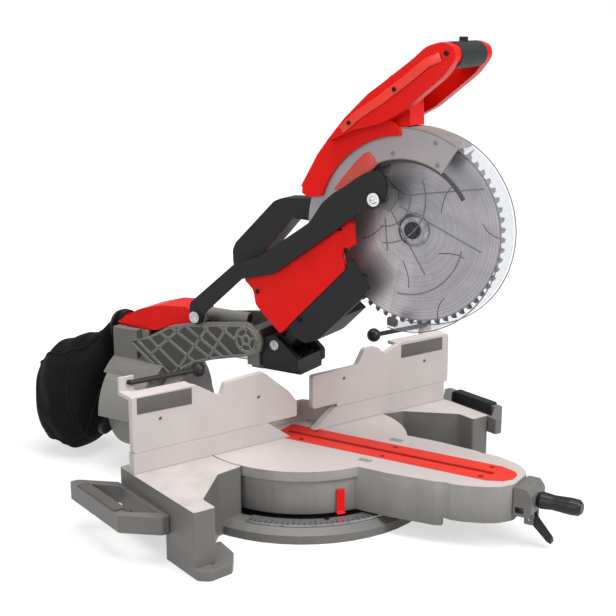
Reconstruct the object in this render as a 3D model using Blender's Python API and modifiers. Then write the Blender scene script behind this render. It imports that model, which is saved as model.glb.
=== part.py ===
"""A cordless sliding mitre saw: base, turntable, bevel hub, slide arm and saw head as separate pieces."""
import math

import bmesh
import bpy
from mathutils import Matrix, Vector

# Clearances and shared small sizes
GAP = 0.0003
RUNNING_GAP = 0.001
OVERRUN = 0.002
EDGE = 0.0012
TURN = 2 * math.pi

# Turntable and base
MITRE_ANGLE = math.radians(22.5)
TABLE_TOP = 0.087
TABLE_RADIUS = 0.150
TABLE_RIM = 0.015
SKIRT_RADIUS = 0.144
SKIRT_FOOT = 0.0245
SKIRT_WALL = 0.008
TABLE_PLATE = 0.011
PIVOT_BOSS_RADIUS = 0.026
PIVOT_RADIUS = 0.008
BASE_RADIUS = 0.186
BASE_RING_TOP = 0.019
BASE_RING_EDGE = 0.012
BASE_FLOOR = 0.006
DETENT_PLATE = 0.003
DETENT_INNER = 0.150
DETENT_OUTER = 0.176
DETENT_NOTCH_RADIUS = 0.003
DETENT_SPAN = math.radians(122)
DETENT_ANGLES = (-45, -31.6, -22.5, -15, 0, 15, 22.5, 31.6, 45)
WING_OUTER = 0.2735
WING_LEFT_FRONT = 0.154
WING_RIGHT_FRONT = 0.098
WING_REAR = 0.038
WING_WALL = 0.008
WING_TOP_WALL = 0.009
WING_CORNER = 0.012
FOOT_THICKNESS = 0.013
FOOT_LENGTH = 0.052
FOOT_BOLT_RADIUS = 0.0045
WINDOW_HEIGHT = 0.034

# Fences
FENCE_TOP = 0.192
FENCE_FIXED_TOP = 0.1155
FENCE_THICKNESS = 0.012
FENCE_PLATE = 0.009
FENCE_OUTER = 0.272
FENCE_RIGHT_OUTER = 0.279
FENCE_LEFT_INNER = 0.010
FENCE_RIGHT_INNER = 0.018
FENCE_TRAVEL = 0.085
FENCE_FLANGE = 0.026
FENCE_FLANGE_THICKNESS = 0.005
FENCE_HOLE_RADIUS = 0.0028
BRIDGE_DEPTH = 0.060
BRIDGE_WALL = 0.011
KNOB_RADIUS = 0.0105
KNOB_STEM_RADIUS = 0.004
KNOB_STEM = 0.012

# Carry bars at the two ends of the base
BAR_REACH = 0.326
BAR_THICKNESS = 0.012
BAR_LEFT_LOW = 0.040
BAR_RIGHT_LOW = 0.061
BAR_HEIGHT = 0.024
BAR_LEFT_FRONT = 0.057
BAR_RIGHT_FRONT = 0.075
BAR_LEFT_REAR = 0.030
GRIP_SKIN = 0.003

# Turntable arm
ARM_FRONT = 0.333
ARM_HALF_WIDTH = 0.072
ARM_LOW = 0.026
ARM_NOSE_LOW = 0.037
ARM_WALL = 0.008
REAR_ARM_END = 0.206
REAR_ARM_HALF_WIDTH = 0.050
REAR_POST_THICKNESS = 0.018
REAR_POST_RADIUS = 0.060
KERF_HALF_WIDTH = 0.029
KERF_THICKNESS = 0.004
KERF_REAR = -0.035
KERF_FRONT = 0.325
SLOT_HALF_WIDTH = 0.0045
SLOT_REAR = -0.028
SLOT_FRONT = 0.296
NOSE_FRONT = 0.358
NOSE_HALF_WIDTH = 0.024
NOSE_LOW = 0.045
NOSE_HIGH = 0.084
GRIP_LENGTH = 0.058
GRIP_RADIUS = 0.0115
GRIP_DROOP = math.radians(12)
LEVER_LENGTH = 0.042
LEVER_WIDTH = 0.010
LEVER_THICKNESS = 0.006
POINTER_WIDTH = 0.011
POINTER_HEIGHT = 0.034
POINTER_ANGLE = math.radians(-38)
POINTER_THICKNESS = 0.003

# Bevel hub and slide
HUB_RADIUS = 0.092
HUB_LOWER_RADIUS = 0.070
HUB_FRONT = -0.225
HUB_REAR = -0.304
HUB_SPLIT = 0.148
BEVEL_LIMIT = math.radians(48)
BEVEL_BOLT_RADIUS = 0.010
BLOCK_FRONT = -0.252
BLOCK_REAR = -0.294
BLOCK_HALF_WIDTH = 0.031
BLOCK_TOP = 0.213
RAIL_RADIUS = 0.0095
RAIL_HEIGHT = 0.199
RAIL_SPREAD = 0.017
BUSH_WALL = 0.003
RAIL_FRONT = 0.006
WALL_LEFT = 0.045
WALL_THICKNESS = 0.007
WALL_REAR = -0.280
WALL_FRONT = -0.040
WALL_LOW = 0.1485
WALL_HIGH = 0.2435
RIB_WIDTH = 0.004
RIB_SINK = 0.0035
FRONT_BLOCK_REAR = -0.066
REAR_PLATE = 0.010

# Saw head
CHOP_ALONG = -0.024
CHOP_HEIGHT = 0.224
ARBOR_ALONG = 0.172
ARBOR_HEIGHT = 0.400
CHOP_LIMIT = math.radians(45)
CHOP_LUG_RADIUS = 0.015
CHOP_PIN_RADIUS = 0.007
CHOP_LUG_HALF = 0.026
YOKE_HALF = 0.037
YOKE_EAR = 0.009
BLADE_RADIUS = 0.127
BLADE_THICKNESS = 0.0018
BLADE_TEETH = 60
BLADE_BORE = 0.008
TOOTH_DEPTH = 0.0060
FLANGE_RADIUS = 0.022
FLANGE_THICKNESS = 0.0045
ARBOR_BOLT_RADIUS = 0.0085
ARBOR_BOLT_HEAD = 0.007
UPPER_RADIUS = 0.1355
UPPER_SWELL = 0.0065
UPPER_WALL = 0.0025
UPPER_LIP = 0.0085
UPPER_LEFT = 0.033
UPPER_RIGHT = 0.029
UPPER_WINDOW = 0.095
UPPER_FRONT_ANGLE = math.radians(57)
UPPER_REAR_ANGLE = math.radians(205)
LOWER_RADIUS = 0.132
LOWER_WALL = 0.0025
LOWER_LEFT = 0.026
LOWER_RIGHT = 0.024
LOWER_BOTTOM_ANGLE = math.radians(-101)
LOWER_TOP_ANGLE = math.radians(98)
LOWER_BORE = 0.034
GUARD_PIN_ALONG = -0.032
GUARD_PIN_HEIGHT = 0.044
GUARD_PIN_RADIUS = 0.005
GUARD_BOSS_RADIUS = 0.014
GUARD_RIB = 0.0016
GUARD_RIB_WIDTH = 0.0024
GUARD_RIB_RADII = (0.036, 0.052)
LINK_REAR_ALONG = -0.148
LINK_REAR_HEIGHT = 0.252
LINK_INNER = 0.0460
LINK_THICKNESS = 0.006
LINK_RING_RADIUS = 0.0088
LINK_RING_HEIGHT = 0.004
HOUSING_LEFT = 0.044
HOUSING_RIGHT = 0.032
HOUSING_LOW = (-0.069, 0.243)
HOUSING_HIGH = (0.115, 0.415)
HOUSING_CLEAR = 0.069
BEZEL_WIDTH = 0.008
HEAD_ARM_LEFT = 0.043
HEAD_ARM_INNER = 0.008
MOTOR_ALONG = 0.010
MOTOR_HEIGHT = 0.312
MOTOR_RADIUS = 0.026
PLATE_LEFT = 0.0325
PLATE_THICKNESS = 0.0115
PLATE_ARBOR_RADIUS = 0.038
PLATE_MOTOR_RADIUS = 0.024
COVER_DEPTH = 0.022
COVER_WALL = 0.003
ARBOR_PULLEY_RADIUS = 0.020
MOTOR_PULLEY_RADIUS = 0.014
PULLEY_WIDTH = 0.012
BELT_THICKNESS = 0.003
ARBOR_RADIUS = 0.0078
ARBOR_NOSE_RADIUS = 0.026
BATTERY_ALONG = -0.050
BATTERY_HEIGHT = 0.250
BATTERY_LENGTH = 0.118
BATTERY_WIDTH = 0.062
BATTERY_DEPTH = 0.060
DOCK_REACH = 0.033
DOCK_RADIUS = 0.020
BATTERY_CHAMFER = 0.014
BATTERY_TRAVEL = 0.090

# Handles
HORN_HALF_WIDTH = 0.020
LOOP_HALF_WIDTH = 0.055
LOOP_THICKNESS = 0.017
CHEEK_DEPTH = 0.0055
CHEEK_LAP = 0.0105
GRIP_BAR_RADIUS = 0.0165
HANDLE_TOP_ALONG = 0.235
HANDLE_TOP_HEIGHT = 0.624
HANDLE_FORK_ALONG = 0.150
HANDLE_FORK_HEIGHT = 0.566
HANDLE_ROOT_ALONG = 0.012
HANDLE_ROOT_HEIGHT = 0.434
TRIGGER_TRAVEL = math.radians(9)
LOCK_OFF_TRAVEL = 0.003
CARRY_HALF_WIDTH = 0.016
CARRY_LEFT = 0.030

# Dust path
CHUTE_HALF_WIDTH = 0.030
CHUTE_REAR = -0.314
CHUTE_FRONT = -0.168
CHUTE_WALL = 0.003
DUCT_RADIUS = 0.010
BAG_FRONT = -0.318
BAG_REAR = -0.446
BAG_LOW = 0.006
BAG_OFFSET = 0.035
BAG_HALF_WIDTH = 0.067
BAG_HALF_HEIGHT = 0.092


def collection(name):
    made = bpy.data.collections.new(name)
    bpy.context.scene.collection.children.link(made)
    return made


def paint(name, red, green, blue, roughness, metallic=0.0, see_through=0.0):
    """A plain surface: its colour, how rough it is and how far it is metal or clear."""
    made = bpy.data.materials.new(name)
    made.use_nodes = True
    shader = made.node_tree.nodes["Principled BSDF"]
    shader.inputs["Base Color"].default_value = (red, green, blue, 1.0)
    shader.inputs["Roughness"].default_value = roughness
    shader.inputs["Metallic"].default_value = metallic
    shader.inputs["Transmission Weight"].default_value = see_through
    made.diffuse_color = (red, green, blue, 1.0)
    return made


def frame(name, parent, at, turn=(0.0, 0.0, 0.0)):
    """An empty on a joint's axis, at a place measured in its parent's own axes."""
    empty = bpy.data.objects.new(name, None)
    SAW.objects.link(empty)
    empty.empty_display_size = KNOB_RADIUS
    empty.parent = parent
    empty.rotation_euler = turn
    empty["place"] = at
    above = parent["place"] if parent and turn == (0.0, 0.0, 0.0) else (0.0, 0.0, 0.0)
    empty.location = Vector(at) - Vector(above)
    return empty


def put(thing, holder, at=(0.0, 0.0, 0.0), turn=(0.0, 0.0, 0.0)):
    """Seat a piece on a frame, at a place in the frame's plane coordinates."""
    thing.parent = holder
    above = holder["place"] if holder else (0.0, 0.0, 0.0)
    thing.location = Vector(at) - Vector(above)
    thing.rotation_euler = turn
    return thing


def part(thing, name, finish, holder, at=(0.0, 0.0, 0.0), turn=(0.0, 0.0, 0.0)):
    thing.name = name
    thing.data.name = name
    thing.data.materials.clear()
    thing.data.materials.append(finish)
    SAW.objects.link(thing)
    return put(thing, holder, at, turn)


def helper(thing, target, operation, at=(0.0, 0.0, 0.0), turn=(0.0, 0.0, 0.0)):
    """Cut a shape out of a piece, or join one to it. The shape stays as a hidden helper."""
    thing.name = target.name + "_" + operation.lower()
    TOOLS.objects.link(thing)
    thing.hide_render = True
    thing.display_type = "WIRE"
    thing.hide_viewport = False
    put(thing, target.parent, at, turn)
    step = target.modifiers.new(operation.lower(), "BOOLEAN")
    step.operation = operation
    step.object = thing
    step.solver = "EXACT"
    return thing


def cut(target, thing, at=(0.0, 0.0, 0.0), turn=(0.0, 0.0, 0.0)):
    return helper(thing, target, "DIFFERENCE", at, turn)


def join(target, thing, at=(0.0, 0.0, 0.0), turn=(0.0, 0.0, 0.0)):
    return helper(thing, target, "UNION", at, turn)


def soften(thing, width=EDGE, segments=1, angle=40):
    step = thing.modifiers.new("edges", "BEVEL")
    step.width = width
    step.segments = segments
    step.limit_method = "ANGLE"
    step.angle_limit = math.radians(angle)
    return thing


def new_object(name, mesh):
    return bpy.data.objects.new(name, mesh)


def from_bmesh(work, smooth=True):
    mesh = bpy.data.meshes.new("mesh")
    bmesh.ops.recalc_face_normals(work, faces=work.faces)
    work.to_mesh(mesh)
    work.free()
    if smooth:
        mesh.shade_smooth()
        mesh.set_sharp_from_angle(angle=math.radians(35))
    return new_object("piece", mesh)


def arc(centre_x, centre_y, radius, start, end, steps):
    """Points along part of a circle, from one angle to another."""
    turns = [start + (end - start) * step / steps for step in range(steps + 1)]
    return [(centre_x + radius * math.cos(turn), centre_y + radius * math.sin(turn)) for turn in turns]


def rounded(points, radius, steps=3):
    """The same outline with each corner replaced by a small arc."""
    result = []
    count = len(points)
    for index in range(count):
        corner = Vector(points[index])
        before = Vector(points[index - 1]) - corner
        after = Vector(points[(index + 1) % count]) - corner
        reach = min(radius, before.length * 0.45, after.length * 0.45)
        start = corner + before.normalized() * reach
        end = corner + after.normalized() * reach
        for step in range(steps + 1):
            share = step / steps
            first = start.lerp(corner, share)
            second = corner.lerp(end, share)
            result.append(tuple(first.lerp(second, share)))
    return result


def from_shares(shares, low, high):
    """Outline points given as shares of the box between two corners."""
    return [(low[0] + (high[0] - low[0]) * across, low[1] + (high[1] - low[1]) * up) for across, up in shares]


def flat(outline, low, high, holes=()):
    """A flat outline with holes, standing between two heights on its own Z axis."""
    drawing = bpy.data.curves.new("drawing", "CURVE")
    drawing.dimensions = "2D"
    drawing.fill_mode = "BOTH"
    drawing.extrude = (high - low) / 2
    for loop in [outline, *holes]:
        spline = drawing.splines.new("POLY")
        spline.points.add(len(loop) - 1)
        spline.use_cyclic_u = True
        for point, (across, up) in zip(spline.points, loop):
            point.co = (across, up, 0.0, 1.0)
    sketch = new_object("sketch", drawing)
    bpy.context.scene.collection.objects.link(sketch)
    bpy.context.view_layer.update()
    shape = bpy.data.meshes.new_from_object(sketch.evaluated_get(bpy.context.evaluated_depsgraph_get()))
    bpy.data.objects.remove(sketch, do_unlink=True)
    work = bmesh.new()
    work.from_mesh(shape)
    bmesh.ops.remove_doubles(work, verts=work.verts, dist=GAP / 10)
    bmesh.ops.translate(work, verts=work.verts, vec=(0.0, 0.0, (low + high) / 2))
    return from_bmesh(work)


def rod(radius, low, high, sides=24, top_radius=None):
    """A round bar or a cone on its own Z axis."""
    work = bmesh.new()
    top = radius if top_radius is None else top_radius
    bmesh.ops.create_cone(work, cap_ends=True, segments=sides, radius1=radius, radius2=top, depth=high - low)
    bmesh.ops.translate(work, verts=work.verts, vec=(0.0, 0.0, (low + high) / 2))
    return from_bmesh(work)


def ball(radius, sides=16, rings=10):
    work = bmesh.new()
    bmesh.ops.create_uvsphere(work, u_segments=sides, v_segments=rings, radius=radius)
    return from_bmesh(work)


def block(x_range, y_range, z_range):
    """A plain block between two corners."""
    work = bmesh.new()
    bmesh.ops.create_cube(work, size=1.0)
    size = [high - low for low, high in (x_range, y_range, z_range)]
    middle = [(high + low) / 2 for low, high in (x_range, y_range, z_range)]
    bmesh.ops.scale(work, verts=work.verts, vec=size)
    bmesh.ops.translate(work, verts=work.verts, vec=middle)
    return from_bmesh(work, smooth=False)


def turned(profile, steps=32, closed=False):
    """A turned shape: a profile of radius and height, screwed round its own Z axis."""
    mesh = bpy.data.meshes.new("profile")
    corners = [(radius, 0.0, height) for radius, height in profile]
    edges = [(index, index + 1) for index in range(len(corners) - 1)]
    if closed:
        edges.append((len(corners) - 1, 0))
    mesh.from_pydata(corners, edges, [])
    shape = new_object("turned", mesh)
    step = shape.modifiers.new("turn", "SCREW")
    step.angle = TURN
    step.steps = steps
    step.render_steps = steps
    step.use_merge_vertices = True
    step.merge_threshold = GAP / 10
    step.use_smooth_shade = True
    bpy.context.scene.collection.objects.link(shape)
    bpy.context.view_layer.update()
    solid = bpy.data.meshes.new_from_object(shape.evaluated_get(bpy.context.evaluated_depsgraph_get()))
    bpy.data.objects.remove(shape, do_unlink=True)
    work = bmesh.new()
    work.from_mesh(solid)
    bmesh.ops.remove_doubles(work, verts=work.verts, dist=GAP / 10)
    return from_bmesh(work)


def loft(rings):
    """A skin over rings of points, closed at both ends."""
    work = bmesh.new()
    rows = [[work.verts.new(point) for point in ring] for ring in rings]
    for lower, upper in zip(rows, rows[1:]):
        for index in range(len(lower)):
            after = (index + 1) % len(lower)
            work.faces.new((lower[index], lower[after], upper[after], upper[index]))
    work.faces.new(list(reversed(rows[0])))
    work.faces.new(rows[-1])
    return from_bmesh(work)


def oval_ring(centre, along, across, half_along, half_across, sides, fullness=2.6):
    """A ring of points on a rounded oval, in the plane of two directions."""
    ring = []
    for index in range(sides):
        turn = TURN * index / sides
        wide = math.copysign(abs(math.cos(turn)) ** (2 / fullness), math.cos(turn))
        tall = math.copysign(abs(math.sin(turn)) ** (2 / fullness), math.sin(turn))
        ring.append(centre + along * (half_along * wide) + across * (half_across * tall))
    return ring


def group(things):
    """Several identical fasteners as one piece of separate solids."""
    work = bmesh.new()
    for thing in things:
        mesh = thing.data.copy()
        mesh.transform(thing.matrix_basis)
        work.from_mesh(mesh)
        bpy.data.objects.remove(thing, do_unlink=True)
    return from_bmesh(work)


def moved(thing, at, turn=(0.0, 0.0, 0.0)):
    thing.location = at
    thing.rotation_euler = turn
    return thing


# Start from nothing
for old in list(bpy.data.objects):
    bpy.data.objects.remove(old, do_unlink=True)

SAW = collection("cordless_mitre_saw")
TOOLS = collection("cutters")

PALE_CAST = paint("cast_aluminium_pale", 0.62, 0.61, 0.60, 0.50, 0.35)
GREY_CAST = paint("cast_aluminium_grey", 0.32, 0.32, 0.31, 0.48, 0.45)
RED_PLASTIC = paint("red_moulded_plastic", 0.72, 0.012, 0.010, 0.38)
BLACK_PLASTIC = paint("black_moulded_plastic", 0.018, 0.018, 0.020, 0.50)
BLACK_RUBBER = paint("black_rubber", 0.030, 0.032, 0.032, 0.72)
BARE_STEEL = paint("bare_steel", 0.56, 0.56, 0.57, 0.30, 1.0)
DARK_STEEL = paint("dark_steel", 0.06, 0.06, 0.06, 0.40, 0.9)
ALUMINIUM = paint("bare_aluminium", 0.55, 0.56, 0.56, 0.35, 0.9)
CLEAR_PLASTIC = paint("clear_plastic", 0.80, 0.82, 0.84, 0.10, 0.0, 0.85)
BAG_CLOTH = paint("black_bag_cloth", 0.010, 0.010, 0.011, 0.92)
BRONZE = paint("bush_bronze", 0.45, 0.30, 0.12, 0.40, 0.9)

QUARTER = math.pi / 2
MITRE = frame("mitre_axis", None, (0.0, 0.0, 0.0), (0.0, 0.0, MITRE_ANGLE))
side_axes = Matrix(((0.0, 0.0, -1.0), (-1.0, 0.0, 0.0), (0.0, 1.0, 0.0))).to_euler()
PLANE = frame("saw_plane", MITRE, (0.0, 0.0, 0.0), tuple(side_axes))
BEVEL = frame("bevel_axis", PLANE, (0.0, TABLE_TOP, 0.0))
SLIDE = frame("slide_axis", BEVEL, (0.0, RAIL_HEIGHT, 0.0))
CHOP = frame("chop_axis", SLIDE, (CHOP_ALONG, CHOP_HEIGHT, 0.0))
ARBOR = frame("arbor_axis", CHOP, (ARBOR_ALONG, ARBOR_HEIGHT, 0.0))


def inset(points, distance):
    """The same outline moved inwards by a distance, or outwards by a negative one."""
    count = len(points)
    area = sum(points[i - 1][0] * points[i][1] - points[i][0] * points[i - 1][1] for i in range(count))
    inward = math.copysign(distance, area)
    result = []
    for index in range(count):
        corner = Vector(points[index])
        before = (corner - Vector(points[index - 1])).normalized()
        after = (Vector(points[(index + 1) % count]) - corner).normalized()
        first = Vector((-before.y, before.x))
        second = Vector((-after.y, after.x))
        middle = first + second
        result.append(tuple(corner + middle * (2 * inward / 2 / (1 + first.dot(second)))))
    return result


def mirrored(points):
    return [(-across, up) for across, up in reversed(points)]


def capsule(first, first_radius, second, second_radius, steps=14):
    """The outline of a belt drawn round two circles."""
    span = Vector(second) - Vector(first)
    heading = math.atan2(span.y, span.x)
    lean = math.acos((first_radius - second_radius) / span.length)
    far = arc(*second, second_radius, heading - lean, heading + lean, steps)
    near = arc(*first, first_radius, heading + lean, heading + TURN - lean, steps)
    return far + near


# Base casting: a floor with a raised ring, two hollow wings and their feet
def wing_plan(front):
    ring = TABLE_RADIUS + OVERRUN
    column = WING_OUTER - FOOT_LENGTH * 0.6
    outline = [
        (WING_OUTER, WING_REAR),
        (WING_OUTER, -front),
        (column, -front),
        (column, -front + FOOT_LENGTH * 0.58),
        (WING_OUTER - FOOT_LENGTH * 1.75, -front + FOOT_LENGTH * 1.75),
    ]
    inner_start = -math.asin((front - FOOT_LENGTH * 1.875) / ring)
    inner_end = math.asin(WING_REAR / ring)
    return outline + arc(0.0, 0.0, ring, inner_start, inner_end, 6)


def foot_plan(side, front):
    reach = WING_OUTER - FOOT_LENGTH
    return [
        (side * WING_OUTER, -front + FOOT_LENGTH),
        (side * WING_OUTER, -front - FOOT_THICKNESS / 2),
        (side * (WING_OUTER - WING_CORNER), -front - FOOT_THICKNESS * 1.3),
        (side * (reach + WING_CORNER / 2), -front - FOOT_THICKNESS),
        (side * (reach - WING_CORNER), -front + WING_CORNER),
        (side * (reach - WING_CORNER * 1.4), -front + FOOT_LENGTH),
    ]


def rear_foot_plan(side):
    reach = WING_OUTER - FOOT_LENGTH * 0.75
    return [
        (side * WING_OUTER, WING_REAR - FOOT_LENGTH / 2),
        (side * WING_OUTER, WING_REAR + FOOT_LENGTH * 0.35),
        (side * reach, WING_REAR + FOOT_LENGTH * 0.35),
        (side * (reach - WING_CORNER), WING_REAR - FOOT_LENGTH / 2),
    ]


def base_casting():
    pin_hole = PIVOT_RADIUS + GAP
    boss_top = SKIRT_FOOT + TABLE_PLATE
    ring_inner = DETENT_INNER + OVERRUN
    profile = [
        (0.0, TABLE_RIM),
        (pin_hole, TABLE_RIM),
        (pin_hole, boss_top),
        (PIVOT_BOSS_RADIUS, boss_top),
        (PIVOT_BOSS_RADIUS, BASE_FLOOR),
        (DETENT_INNER, BASE_FLOOR),
        (ring_inner, BASE_RING_TOP),
        (DETENT_OUTER, BASE_RING_TOP),
        (BASE_RADIUS, BASE_RING_EDGE),
        (BASE_RADIUS, 0.0),
        (0.0, 0.0),
    ]
    casting = part(turned(profile, 48), "base_casting", PALE_CAST, None)
    for side, front in ((-1, WING_LEFT_FRONT), (1, WING_RIGHT_FRONT)):
        plan = wing_plan(front)
        hollow = inset(plan, WING_WALL)
        if side < 0:
            plan, hollow = mirrored(plan), mirrored(hollow)
        shell = join(casting, flat(rounded(plan, EDGE * 3, 2), 0.0, TABLE_TOP))
        step = shell.modifiers.new("hollow", "BOOLEAN")
        core = flat(hollow, -OVERRUN, TABLE_TOP - WING_TOP_WALL)
        core.name = "wing_hollow"
        TOOLS.objects.link(core)
        core.hide_render = True
        core.display_type = "WIRE"
        step.object = core
        join(casting, flat(rounded(foot_plan(side, front), EDGE * 3, 2), 0.0, FOOT_THICKNESS))
        join(casting, flat(rounded(rear_foot_plan(side), EDGE * 3, 2), 0.0, FOOT_THICKNESS))
        for bolt_y in (-front + FOOT_THICKNESS / 3, WING_REAR + FOOT_LENGTH * 0.12):
            bolt_x = side * (WING_OUTER - FOOT_LENGTH / 2 + EDGE)
            cut(casting, rod(FOOT_BOLT_RADIUS, -OVERRUN, FOOT_THICKNESS + OVERRUN, 12), (bolt_x, bolt_y, 0.0))
        window_y = (-front + FOOT_LENGTH * 1.35, WING_REAR - FOOT_LENGTH * 0.5)
        inner_x, outer_x = WING_OUTER - WING_WALL * 1.5, WING_OUTER + OVERRUN
        window_x = tuple(sorted((side * inner_x, side * outer_x)))
        cut(casting, block(window_x, window_y, (-OVERRUN, WINDOW_HEIGHT)))
    return casting


FENCE_LUG_DEPTH = 0.020
FENCE_LUG_MIDDLE = FENCE_THICKNESS + FENCE_LUG_DEPTH / 2
FENCE_LUG_HEIGHT = 0.007
FENCE_BOLT_PLACES = (0.185, 0.245)
base_casting()

# Steel detent plate on the ring, with a notch for each preset angle
detent_start, detent_end = -QUARTER - DETENT_SPAN / 2, -QUARTER + DETENT_SPAN / 2
detent_ring = arc(0.0, 0.0, DETENT_OUTER - OVERRUN, detent_start, detent_end, 32)
detent_ring += arc(0.0, 0.0, DETENT_INNER + OVERRUN * 2, detent_end, detent_start, 32)
detent_low = BASE_RING_TOP + GAP
detents = part(flat(detent_ring, detent_low, detent_low + DETENT_PLATE), "mitre_detent_plate", BARE_STEEL, None)
for angle in DETENT_ANGLES:
    heading = math.radians(angle) - QUARTER
    notch_at = (DETENT_OUTER * math.cos(heading), DETENT_OUTER * math.sin(heading), 0.0)
    cut(detents, rod(DETENT_NOTCH_RADIUS, BASE_RING_TOP + GAP / 2, BASE_RING_TOP + TABLE_PLATE, 8), notch_at)

# Mitre pivot bolt, screwed down into the base through the turntable
PIVOT_HEAD_LOW = 0.058 + GAP
pivot_profile = [
    (0.0, PIVOT_HEAD_LOW + PIVOT_RADIUS),
    (PIVOT_RADIUS * 1.8, PIVOT_HEAD_LOW + PIVOT_RADIUS),
    (PIVOT_RADIUS * 1.8, PIVOT_HEAD_LOW),
    (PIVOT_RADIUS, PIVOT_HEAD_LOW),
    (PIVOT_RADIUS, TABLE_RIM + GAP),
    (0.0, TABLE_RIM + GAP),
]
part(turned(pivot_profile, 16), "mitre_pivot_bolt", DARK_STEEL, None)


# Fixed fence: two low plates on the wings, tied behind the kerf by a bridge
def fixed_fence_outline(side):
    toe = side * (FENCE_RIGHT_INNER + EDGE * 3)
    return [
        (side * FENCE_OUTER, TABLE_TOP + GAP),
        (side * FENCE_OUTER, FENCE_FIXED_TOP),
        (side * BRIDGE_DEPTH, FENCE_FIXED_TOP),
        (toe, TABLE_TOP + GAP),
    ]


fixed_fence = part(flat(fixed_fence_outline(-1), -FENCE_THICKNESS, 0.0), "fixed_fence", PALE_CAST, None,
                   turn=(QUARTER, 0.0, 0.0))
join(fixed_fence, flat(fixed_fence_outline(1), -FENCE_THICKNESS, 0.0), turn=(QUARTER, 0.0, 0.0))
bridge_foot = BRIDGE_DEPTH + BRIDGE_WALL * 2
bridge_corner = BRIDGE_DEPTH * 0.7
bridge_outer = [(-bridge_foot, FENCE_THICKNESS / 2), (-bridge_corner, BRIDGE_DEPTH), (bridge_corner, BRIDGE_DEPTH),
                (bridge_foot, FENCE_THICKNESS / 2)]
bridge_inner = [(bridge_foot - BRIDGE_WALL * 1.2, FENCE_THICKNESS / 2), (bridge_corner - BRIDGE_WALL / 2,
                 BRIDGE_DEPTH - BRIDGE_WALL), (BRIDGE_WALL / 2 - bridge_corner, BRIDGE_DEPTH - BRIDGE_WALL),
                (BRIDGE_WALL * 1.2 - bridge_foot, FENCE_THICKNESS / 2)]
join(fixed_fence, flat(rounded(bridge_outer + bridge_inner, EDGE * 2, 2), TABLE_TOP + GAP, FENCE_FIXED_TOP))
for side in (-1, 1):
    for bolt_x in FENCE_BOLT_PLACES:
        lug_x = (side * bolt_x - FENCE_LUG_DEPTH / 2, side * bolt_x + FENCE_LUG_DEPTH / 2)
        lug_y = (FENCE_THICKNESS / 2, FENCE_THICKNESS + FENCE_LUG_DEPTH)
        join(fixed_fence, block(lug_x, lug_y, (TABLE_TOP + GAP, TABLE_TOP + GAP + FENCE_LUG_HEIGHT)))

# Sliding fences: tall plates that ride on the fixed fence, each with a guide, a rear flange and a clamp lug
FENCE_LOW = FENCE_FIXED_TOP + GAP
FENCE_RISE = FENCE_TOP - FENCE_LOW
LEFT_FENCE_SHARES = ((0.0, 0.0), (0.0, 1.0), (0.365, 1.01), (0.52, 0.70), (0.545, 0.94), (0.785, 0.985),
                     (0.865, 0.75), (0.945, 0.53), (1.0, 0.29), (1.0, 0.0))
RIGHT_FENCE_SHARES = ((0.0, 0.06), (0.0, 0.71), (0.31, 0.73), (0.365, 1.04), (0.455, 1.03), (0.51, 0.86),
                      (0.645, 1.03), (1.0, 1.0), (1.0, 0.0), (0.17, 0.0), (0.17, 0.06))
CLAMP_Y = 0.030
CLAMP_Z = 0.203
CLAMP_PIVOT = 0.258
CLAMP_KNOB = 0.154
CLAMP_ROD_RADIUS = 0.0036
GUIDE_LOW = 0.1045


def sliding_fence(name, side, shares, inner):
    outer = FENCE_RIGHT_OUTER if side > 0 else FENCE_OUTER
    low = (inner, FENCE_LOW) if side > 0 else (-outer, FENCE_LOW)
    high = (outer, FENCE_TOP) if side > 0 else (-inner, FENCE_TOP)
    outline = rounded(from_shares(shares, low, high), EDGE * 3, 2)
    fence = part(flat(outline, -FENCE_PLATE, 0.0), name, PALE_CAST, None, turn=(QUARTER, 0.0, 0.0))

    def span(first, last):
        return tuple(sorted((side * first, side * last)))

    guide_y = (FENCE_THICKNESS + GAP, FENCE_THICKNESS + FENCE_PLATE)
    join(fence, block(span(BRIDGE_DEPTH * 1.75, FENCE_OUTER - WING_WALL), guide_y, (GUIDE_LOW, FENCE_LOW + WING_WALL)))
    tie_y = (FENCE_PLATE / 2, FENCE_THICKNESS + FENCE_PLATE)
    join(fence, block(span(BRIDGE_DEPTH * 1.75, FENCE_OUTER - WING_WALL), tie_y, (FENCE_LOW, FENCE_LOW + WING_WALL)))
    flange_z = (FENCE_TOP - FENCE_FLANGE_THICKNESS, FENCE_TOP)
    join(fence, block(span(CLAMP_KNOB + WING_CORNER * 2, outer), (FENCE_PLATE / 2, FENCE_FLANGE), flange_z))
    lug_y = (CLAMP_Y + CLAMP_ROD_RADIUS + GAP, CLAMP_Y + CLAMP_ROD_RADIUS + WING_WALL / 2)
    lug_x = span(CLAMP_PIVOT - WING_WALL, FENCE_OUTER)
    join(fence, block(lug_x, lug_y, (FENCE_TOP - FENCE_FLANGE_THICKNESS, CLAMP_Z + WING_WALL)))
    base_y = (FENCE_FLANGE - WING_WALL, CLAMP_Y + CLAMP_ROD_RADIUS + WING_WALL / 2)
    join(fence, block(lug_x, base_y, flange_z))
    for hole_x in (BRIDGE_DEPTH * 1.25, FENCE_OUTER - FOOT_LENGTH * 0.8):
        middle = (side * hole_x, 0.0, FENCE_LOW + FENCE_RISE * 0.53)
        cut(fence, rod(FENCE_HOLE_RADIUS, -FENCE_THICKNESS, OVERRUN, 10), middle, (QUARTER, 0.0, 0.0))
    pin_at = (side * CLAMP_PIVOT, 0.0, CLAMP_Z)
    cut(fence, rod(FENCE_HOLE_RADIUS + GAP, -CLAMP_Y - FENCE_LUG_DEPTH, -CLAMP_Y, 12), pin_at, (QUARTER, 0.0, 0.0))
    return fence


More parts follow.
